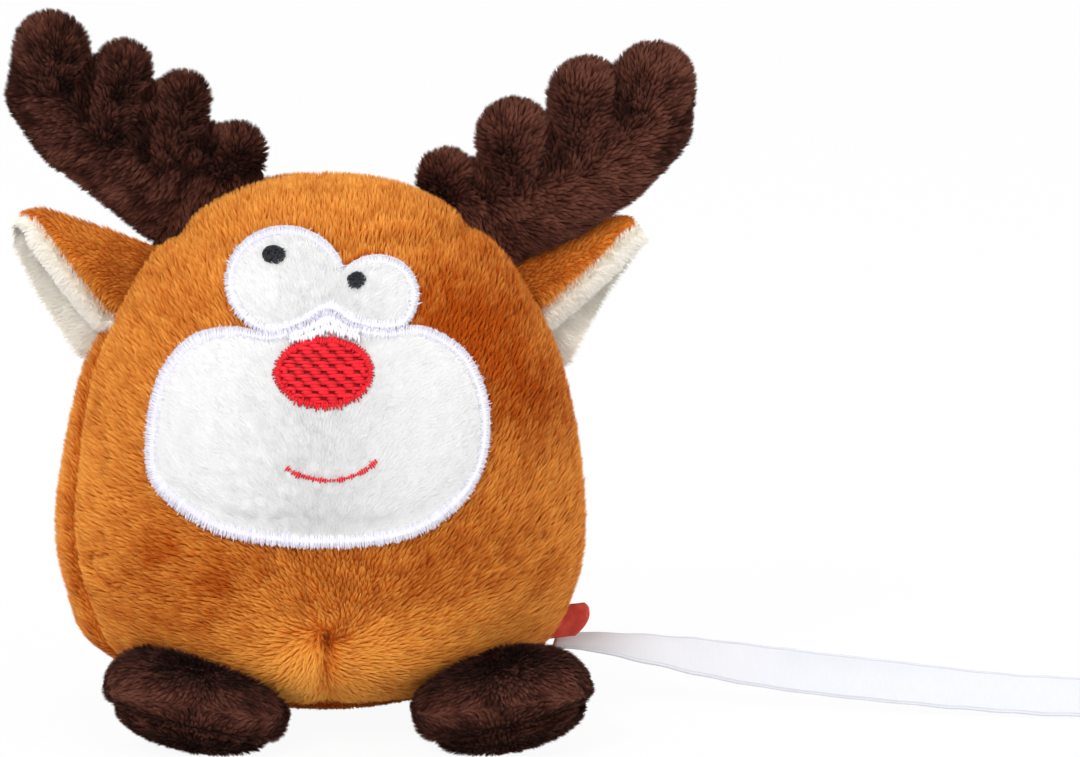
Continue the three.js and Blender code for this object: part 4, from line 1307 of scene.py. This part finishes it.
def foot_surface(side, middle):
    """A round form, rolled, with every point drawn in until it is clear of the ball."""
    rows, sides = 40, 72
    tilt = np.linspace(-math.pi / 2, math.pi / 2, rows)[:, None]
    turn = np.linspace(0, 2 * math.pi, sides, endpoint=False)
    form = np.stack(np.broadcast_arrays(np.cos(tilt) * np.cos(turn), np.cos(tilt) * np.sin(turn),
                                        np.sin(tilt)), axis=-1).reshape(-1, 3)
    x, y, z = (np.sign(form) * np.abs(form) ** 0.85 * (foot_halves - foot_nap * 0.8)).T
    roll = -side * math.radians(foot_roll)
    turned = np.column_stack([x * math.cos(roll) + z * math.sin(roll), y,
                              z * math.cos(roll) - x * math.sin(roll)])
    if side > 0:
        turned[:, 0] -= 0.16 * turned[:, 2]
    tries = middle + turned * np.linspace(1, 0.3, 60)[:, None, None]
    first_clear = np.argmax(beyond_ball(tries) > 1.0, axis=0)
    points = tries[first_clear, np.arange(len(turned))]
    points[:, 2] = np.maximum(points[:, 2], 0.15)
    piece = face_outwards(make_mesh("foot", points, row_faces(rows, sides, loop=True)))
    modify(piece, "SMOOTH", factor=0.5, iterations=3)
    return applied(piece)


def make_foot(side_name, side, x, seed):
    middle = np.array((x, foot_y, foot_z))
    whole = foot_surface(side, middle)
    roll = math.radians(foot_roll)
    up = np.array((-side * math.sin(roll), 0, math.cos(roll)))
    seam = middle + up * sole_share * foot_halves[2]
    sink_seams(whole, (lambda at: (at - seam) @ up, 1.3, 0.9))
    for k, (part, normal) in enumerate((("upper", -up), ("sole", up))):
        piece = part_of(whole, f"foot_{side_name}_{part}_plush", (seam, normal))
        at, _ = points_of(piece)
        comb = (at - middle) * (1, 0.6, 0) + (0, -3, 1.5)
        clear = np.minimum(beyond_ball(at) - 1.1, at[:, 2] - 0.3)
        height = (at - middle) @ up
        # Painted light and shade: a painted highlight band across the foot, painted shadow towards its top
        # under the ball, and painted shade in the seam groove
        shade = 0.45 + 0.16 * (near(height, 2.6) - smooth_step(height, 2.5, 6)) \
            - 0.5 * near((at - seam) @ up, 0.6)
        dress(piece, brown_pile, seed + 10 * k, comb, shade, clear, 1.0,
              density=80, length=1.3, rise=0.7, patch_size=3.0, **brown_fur)
        declare(piece, "brown_plush", 0.8, f"foot_{side_name}_{part}",
                *([f"foot_{side_name}_stuffing"] if part == "upper" else []))
        sewn_on(piece, f"foot_{side_name}", *np.array(((x, -16, foot_z), (x, -24, foot_z))))
    bpy.data.objects.remove(whole)


for seed, (side_name, (side, x)) in enumerate(feet.items()):
    make_foot(side_name, side, x, 500 + 40 * seed)

# %% [markdown]
# ## White patches of the face
# The muzzle and the joined eye patch are cut from a very short white plush and laid on the
# front panel. Rings about the middle of each outline fill it, and the whole patch swells a
# little over the stuffing and dips where the border pulls it down.


# %% Patches
patch_inset = 0.3


def face_front(piece):
    """Turns the faces of a sheet that lies on the ball's front towards the viewer."""
    face_outwards(piece)
    if points_of(piece)[1][:, 1].mean() > 0:
        piece.data.flip_normals()
    return piece


def ring_pad(name, middle, rim, rings, height_of):
    """A pad on the ball's front: rings that shrink from a rim to a middle point."""
    turns = len(rim)
    shares = np.append(np.repeat(np.linspace(1 / rings, 1, rings), turns), 0)
    flat = middle + shares[:, None] * np.vstack([np.tile(rim, (rings, 1)), rim[:1]])
    faces = row_faces(rings, turns, loop=True)
    faces += [(rings * turns, j, (j + 1) % turns) for j in range(turns)]
    return face_front(make_mesh(name, on_front(flat, height_of(flat, shares)), faces))


def make_patch(name, outline, swell, rings, turns, seed):
    """A pad of very short white plush that fills an outline."""
    def height_of(flat, _):
        edge = -outline.beyond(flat) - patch_inset
        return 0.9 + swell * smooth_step(edge, 0, 4.5) \
            - 0.22 * near(edge - 3.2, 1.1) * smooth_step(-flat[:, 1], -40, -32)

    angles = np.linspace(-math.pi, math.pi, turns, endpoint=False)
    rim = (outline.far_at(angles) - patch_inset)[:, None] * around(angles)
    piece = ring_pad(name + "_plush", outline.middle, rim, rings, height_of)
    flat = points_of(piece)[0][:, ::2]
    edge = -outline.beyond(flat) - patch_inset
    comb = np.column_stack([0.85 * np.clip((flat[:, 0] - face_x) / 14, -1, 1), 0 * edge,
                            0 * edge + 0.55])
    grows = np.minimum(edge - 0.1, 5 * (oval_share(flat, nose_oval) - 0.9))
    dress(piece, white_pile, seed, comb, 0.5, grows, 0.6 + 0.4 * smooth_step(edge, 0, 2),
          backing=0.5, density=110, length=0.8, width=0.09, rise=0.35, tuft=0.3, cling=0.3,
          ruffle=0.7, ruffle_size=1.0, speckle=0.14, patches=0.35, patch_size=2.0)
    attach(piece, "body")
    declare(piece, "white_plush", 0.3, name)


make_patch("muzzle_patch", muzzle_line, 0.5, 44, 220, 600)
make_patch("eye_patch", eye_line, 0.4, 28, 160, 620)

# %% [markdown]
# ## Satin borders
# The edge of each patch is covered by a dense satin stitch: one thread after another laid across
# the edge, shiny along the thread and a little ragged where it catches the pile. A narrow band
# under the stitches closes the gaps between them.


# %% Borders
def border_widths(place):
    """How wide the satin border is along an outline: widest low down and on the left."""
    x, z = place.T
    return 1.5 + 0.55 * smooth_step(-x, 9, 20) + 0.55 * smooth_step(-z, -38, -32) \
        + 0.6 * near(x - 0.9, 3.4) * (z > 50) * (z < 62)


def underlay(piece, finish, thickness, reach):
    """Backs a sheet that lies under stitches; a short reach keeps its map at the dark end, as painted shade
    between the stitches.
    """
    modify(piece, "SOLIDIFY", thickness=thickness * mm, offset=-1)
    at, _ = points_of(applied(piece))
    low, high = at.min(0), at.max(0)
    set_map(piece, ((at - low) / np.maximum(high - low, 1e-6))[:, ::2], reach)
    piece.data.materials.append(finish)
    return piece


def border_band(name, outline, low, high, growth, steps, finish):
    """A low band along an outline, between two distances outside it."""
    place, out = outline.line(steps)
    low = (0.1 - border_widths(place) if low is None else np.full(steps, low))[:, None]
    shares = np.linspace(0, 1, 6)
    rows = [on_front(place + out * (low + (high - low) * share),
                     growth * math.sin(math.pi * (0.12 + 0.76 * share))) for share in shares]
    piece = make_mesh(name, np.vstack(rows), row_faces(len(shares), steps, loop=True))
    return underlay(face_front(piece), finish, 0.35, 0.9)


def sew_front(name, first, last, heights, girths, finish, seed, **form):
    """Stitches between points of the front view, whose ends lie at two heights."""
    starts, ends = on_front(first, heights[0]), on_front(last, heights[1])
    return sew(name, starts, ends, ball_normal(starts), girths, finish, seed, **form)


def satin_border(name, outline, width, growth, pitch, girth, finish, seed, ragged=0.12,
                 fuzz=0.0):
    """Threads across an outline's edge; fuzz is how far loose ends stand out of it."""
    chance_of = np.random.default_rng(seed)
    steps = round(outline.length() / pitch)
    place, out = outline.line(steps)
    side = np.column_stack([-out[:, 1], out[:, 0]])

    def across(low, high, low_spread, high_spread, slant):
        inner = place + out * (low + chance_of.normal(0, low_spread, (steps, 1)))
        outer = place + out * (high + np.abs(chance_of.normal(0, high_spread, (steps, 1))))
        return inner, outer + side * chance_of.normal(0, slant, (steps, 1))

    reach = border_widths(place)[:, None] if width is None else width
    threads = across(-reach, -0.15, ragged * 0.5, ragged, 0.08)
    girths = girth * chance_of.uniform(0.8, 1.2, steps)
    if fuzz:
        threads = map(np.vstack, zip(threads, across(-0.9, -0.05, 0.3, fuzz, 0.22)))
        girths = np.append(girths, girth * chance_of.uniform(0.35, 0.7, steps))
    return sew_front(name, *threads, (growth * 0.8, growth * 0.9), girths, finish, seed,
                     arch=0.9)


def sew_bridge(name, seed):
    """The upright satin stitches between the peak of the muzzle and the nose."""
    chance_of = np.random.default_rng(seed)
    x = np.repeat(np.arange(-3.6, 5.6, 0.12), 2)
    peak, _ = muzzle_line.line(900)
    peak = peak[peak[:, 1] > muzzle_z + 12]
    peak = peak[np.argsort(peak[:, 0])]
    top = np.interp(x, *peak.T) - 0.5 + chance_of.normal(0, 0.1, len(x))
    low = top - 1.3 - 0.9 * near(x - 0.9, 2.8) + chance_of.normal(0, 0.2, len(x))
    middle = (top + low) / 2 + chance_of.normal(0, 0.15, len(x))
    even = np.arange(len(x)) % 2 == 0
    first = np.column_stack([x + chance_of.normal(0, 0.05, len(x)),
                             np.where(even, low, middle - 0.1)])
    last = np.column_stack([x, np.where(even, middle + 0.1, top)])
    return sew_front(name, first, last, (1.7, 1.7), 0.34, white_thread, seed, arch=0.6)


def make_border(name, outline, node, seed):
    parts = [satin_border(name, outline, None, 1.3, 0.22, 0.25, white_thread, seed, fuzz=0.18)]
    if outline is muzzle_line:
        parts.append(sew_bridge(name + "_bridge", seed + 5))
    parts.append(border_band(name + "_band", outline, None, -0.1, 1.4, 240, white_thread))
    on_body(join(name, *parts), node)


make_border("muzzle_border_satin", muzzle_line, "muzzle_border", 700)
make_border("eye_border_satin", eye_line, "eye_border", 720)
print("borders:", round(muzzle_line.length()), "and", round(eye_line.length()), "mm long")

# %% [markdown]
# ## Nose, pupils and mouth
# The nose is embroidered twice: rows of short stitches fill it, and a satin rim closes its edge.
# The pupils are small satin spots, and the mouth is a row of tiny stitches across a curved line.


# %% Embroidery
def oval_pad(name, oval, shrink, growth, dome, finish):
    rim = (np.array(oval[2:]) - shrink) * around(np.linspace(0, 2 * math.pi, 60, endpoint=False))
    pad = ring_pad(name, oval[:2], rim, 10, lambda _, shares: growth + dome * (1 - shares ** 2))
    # The pad is painted dark: painted shade in the gaps between its stitches
    return underlay(pad, finish, 0.5, 0.1)


def fill_rows(name, oval, shrink, growth, dome, pitch, length, girth, finish, seed):
    """Rows of stitches across an oval, each row's ends set off from its neighbour's."""
    x, z, half_width, half_height = oval - np.array((0, 0, shrink, shrink))
    chance_of = np.random.default_rng(seed)
    starts, ends = [], []
    for row, at_z in enumerate(np.arange(z - half_height + pitch / 2, z + half_height, pitch)):
        chord = half_width * math.sqrt(max(0, 1 - ((at_z - z) / half_height) ** 2))
        hole = 0.36 if row % 2 else -0.15
        shift = (row // 2 % 2) * length / 2 + (0.0 if row % 2 else 0.3) * length
        cuts = x + np.arange(-4, 5) * length + shift
        cuts = np.concatenate([[x - chord], cuts[np.abs(cuts - x) < chord - 0.6], [x + chord]])
        for left, right in zip(cuts[:-1], cuts[1:]):
            starts.append((left + hole, at_z + chance_of.normal(0.05, 0.03)))
            ends.append((right - hole, at_z + chance_of.normal(-0.05, 0.03)))
    rows = np.array([starts, ends])
    share = oval_share(rows, (x, z, half_width, half_height))
    return sew_front(name, *rows, growth + dome * np.maximum(1 - share ** 2, 0),
                     girth * chance_of.uniform(0.85, 1.15, len(starts)), finish, seed,
                     arch=0.15, narrowing=0.25)


nose_fill = join(
    "nose_satin",
    fill_rows("nose_satin", nose_oval, 0.9, 1.9, 0.5, 0.41, 2.2, 0.62, red_thread, 800),
    oval_pad("nose_pad", nose_oval, 0.6, 1.6, 0.5, red_thread))
on_body(nose_fill, "nose")
nose_rim = join(
    "nose_border_satin",
    satin_border("nose_border_satin", nose_line, 1.35, 1.95, 0.36, 0.34, red_thread, 810,
                 0.17),
    border_band("nose_rim_band", nose_line, -1.2, -0.1, 2.0, 90, red_thread))
on_body(nose_rim, "nose_border")


def scribble(name, oval, growth, count, girth, finish, seed):
    """Short stitches that cross each other within an oval."""
    chance_of = np.random.default_rng(seed)
    turn, far = chance_of.uniform(0, 2 * math.pi, count), np.sqrt(chance_of.uniform(0, 1, count))
    middle = oval[:2] + 0.8 * far[:, None] * oval[2:] * around(turn)
    lean = chance_of.normal(0.2, 0.6, count)
    half = chance_of.uniform(0.3, 0.5, count)[:, None] * around(lean)
    height = growth + chance_of.uniform(-0.1, 0.15, count)
    return sew_front(name, middle - half, middle + half, (height, height), girth, finish, seed,
                     arch=0.8)


for (side_name, oval), count in zip(pupil_ovals.items(), (70, 52)):
    pupil = join(
        f"pupil_{side_name}_satin",
        scribble(f"pupil_{side_name}_satin", oval, 1.75, count, 0.24, black_thread, 830),
        oval_pad(f"pupil_{side_name}_pad", oval, 0.1, 1.55, 0.25, black_thread))
    on_body(pupil, f"pupil_{side_name}")

mouth_points = [(-3.9, 39.3), (-2.7, 38.55), (-1.1, 38.1), (0.7, 37.75), (2.1, 37.7),
                (3.5, 37.85), (5.1, 38.35), (6.6, 39.05), (7.8, 40.0)]


def make_mouth():
    line = smooth_line(mouth_points, 40)
    along = unit(np.gradient(line, axis=0))
    across = np.column_stack([-along[:, 1], along[:, 0]])
    half = 0.34 + np.random.default_rng(840).normal(0, 0.13, (len(line), 1))
    return sew_front("mouth_satin", line - across * half, line + across * half + along * 0.12,
                     (1.55, 1.55), 0.3, red_thread, 841, arch=0.8)


on_body(make_mouth(), "mouth")
print("nose, pupils and mouth are sewn")

# %% [markdown]
# ## Side label
# A woven label, folded in two, is caught in the side seam with its fold outwards. It is left
# bare. Its weave is a fine over and under of threads, drawn on the label's own map.


# %% Label
label_root = (32.1, -3.3, 12.1)
label_length, label_width, label_gap, label_rows = 4.3, 4.3, 0.8, 17


def label_finish():
    material, plan, shader = new_finish("woven label", 0.75)
    across, along = place_on_map(plan)
    weave = plan.maths("SINE", across * 190) * plan.maths("SINE", along * 150) * 0.5 + 0.5
    cloudy = plan.noise(900.0, Vector=plan.add("ShaderNodeTexCoord", output="Object"))
    shade = plan.maths("ADD", weave * 0.45, cloudy * 0.6, clamped=True)
    plan.set_input(shader, "Base Color", plan.ramp(
        shade, (0.1, (150, 30, 24)), (0.55, (206, 60, 42)), (1.0, (226, 104, 84))))
    plan.set_input(shader, "Normal", plan.add("ShaderNodeBump", Strength=0.4, Distance=0.0001,
                                              Height=weave))
    return material


def make_label():
    end, gap = label_length, label_gap
    out, deep = smooth_line([
        (-1.9, 0.1), (1.2, 0.0), (end - 0.9, 0.02), (end - 0.25, 0.1), (end, gap / 2),
        (end - 0.25, gap - 0.1), (end - 0.9, gap), (1.2, gap), (-1.9, gap - 0.1)], 46).T
    share = np.linspace(-0.5, 0.5, label_rows)[:, None]
    corner = 2.3 * np.maximum(0.22 - share, 0) ** 2 / 0.52 \
        + 0.5 * np.maximum(share - 0.3, 0) ** 2 / 0.04
    x, z = out - corner * smooth_step(out, 0, end), share * label_width
    tilt = math.radians(7)
    points = np.stack([x * math.cos(tilt) - z * math.sin(tilt),
                       deep + 0.12 * np.sin(out * 1.1 + share * 2),
                       x * math.sin(tilt) + z * math.cos(tilt)], axis=-1) + label_root
    piece = make_mesh("side_label", points.reshape(-1, 3), row_faces(label_rows, len(out)))
    set_map(piece, np.stack(np.broadcast_arrays(
        np.linspace(0, 1, len(out)), share + 0.5), axis=-1).reshape(-1, 2))
    modify(piece, "SOLIDIFY", thickness=0.22 * mm, offset=0)
    applied(piece).data.shade_smooth()
    piece.data.materials.append(label_finish())
    on_body(piece, "label")


make_label()
print("label at", label_root)

# %% [markdown]
# ## Studio
# A pale floor and soft light, at a level at which a colour shows about as it is written.

# %% Floor and light
world_level = 0.78
lamps = [("key", (-0.5, -0.9, 0.95), 0.5, 8.5), ("fill", (0.9, -0.8, 0.5), 0.7, 3.5),
         ("top", (0.0, 0.25, 1.3), 0.6, 2.0)]


def seen_directly(plan):
    rays = plan.add("ShaderNodeLightPath")
    return plan.maths("MAXIMUM", rays.out("Is Camera Ray"), rays.out("Is Glossy Ray"))


def make_studio():
    floor = make_mesh("floor", [(-4000, -4000, -0.02), (4000, -4000, -0.02),
                                (4000, 4000, -0.02), (-4000, 4000, -0.02)], [(0, 1, 2, 3)])
    material, plan, shader = new_finish("white floor", 0.9, Specular_IOR_Level=0.0)
    plan.set_input(shader, "Base Color", color_of(240, 240, 242))
    white = plan.add("ShaderNodeEmission", Color=(1, 1, 1, 1), Strength=1.0)
    out = next(n for n in material.node_tree.nodes if n.type == "OUTPUT_MATERIAL")
    plan.set_input(out, "Surface", plan.add(
        "ShaderNodeMixShader", seen_directly(plan) * 0.94, Wire(plan, shader.outputs[0]), white))
    floor.data.materials.append(material)
    world = bpy.data.worlds.new("studio")
    world.use_nodes = True
    bpy.context.scene.world = world
    sky = Plan(world.node_tree)
    back = next(n for n in world.node_tree.nodes if n.type == "BACKGROUND")
    sky.set_input(back, "Color", (1, 1, 1, 1))
    sky.set_input(back, "Strength", seen_directly(sky) * (1 - world_level) + world_level)
    for name, place, size, power in lamps:
        lamp = bpy.data.lights.new(name, "AREA")
        lamp.size, lamp.energy = size, power
        holder = bpy.data.objects.new(name, lamp)
        bpy.context.collection.objects.link(holder)
        holder.location = place
        holder.rotation_euler = (camera_target - Vector(place)).to_track_quat(
            "-Z", "Y").to_euler()


make_studio()
print("lamps:", len(lamps))
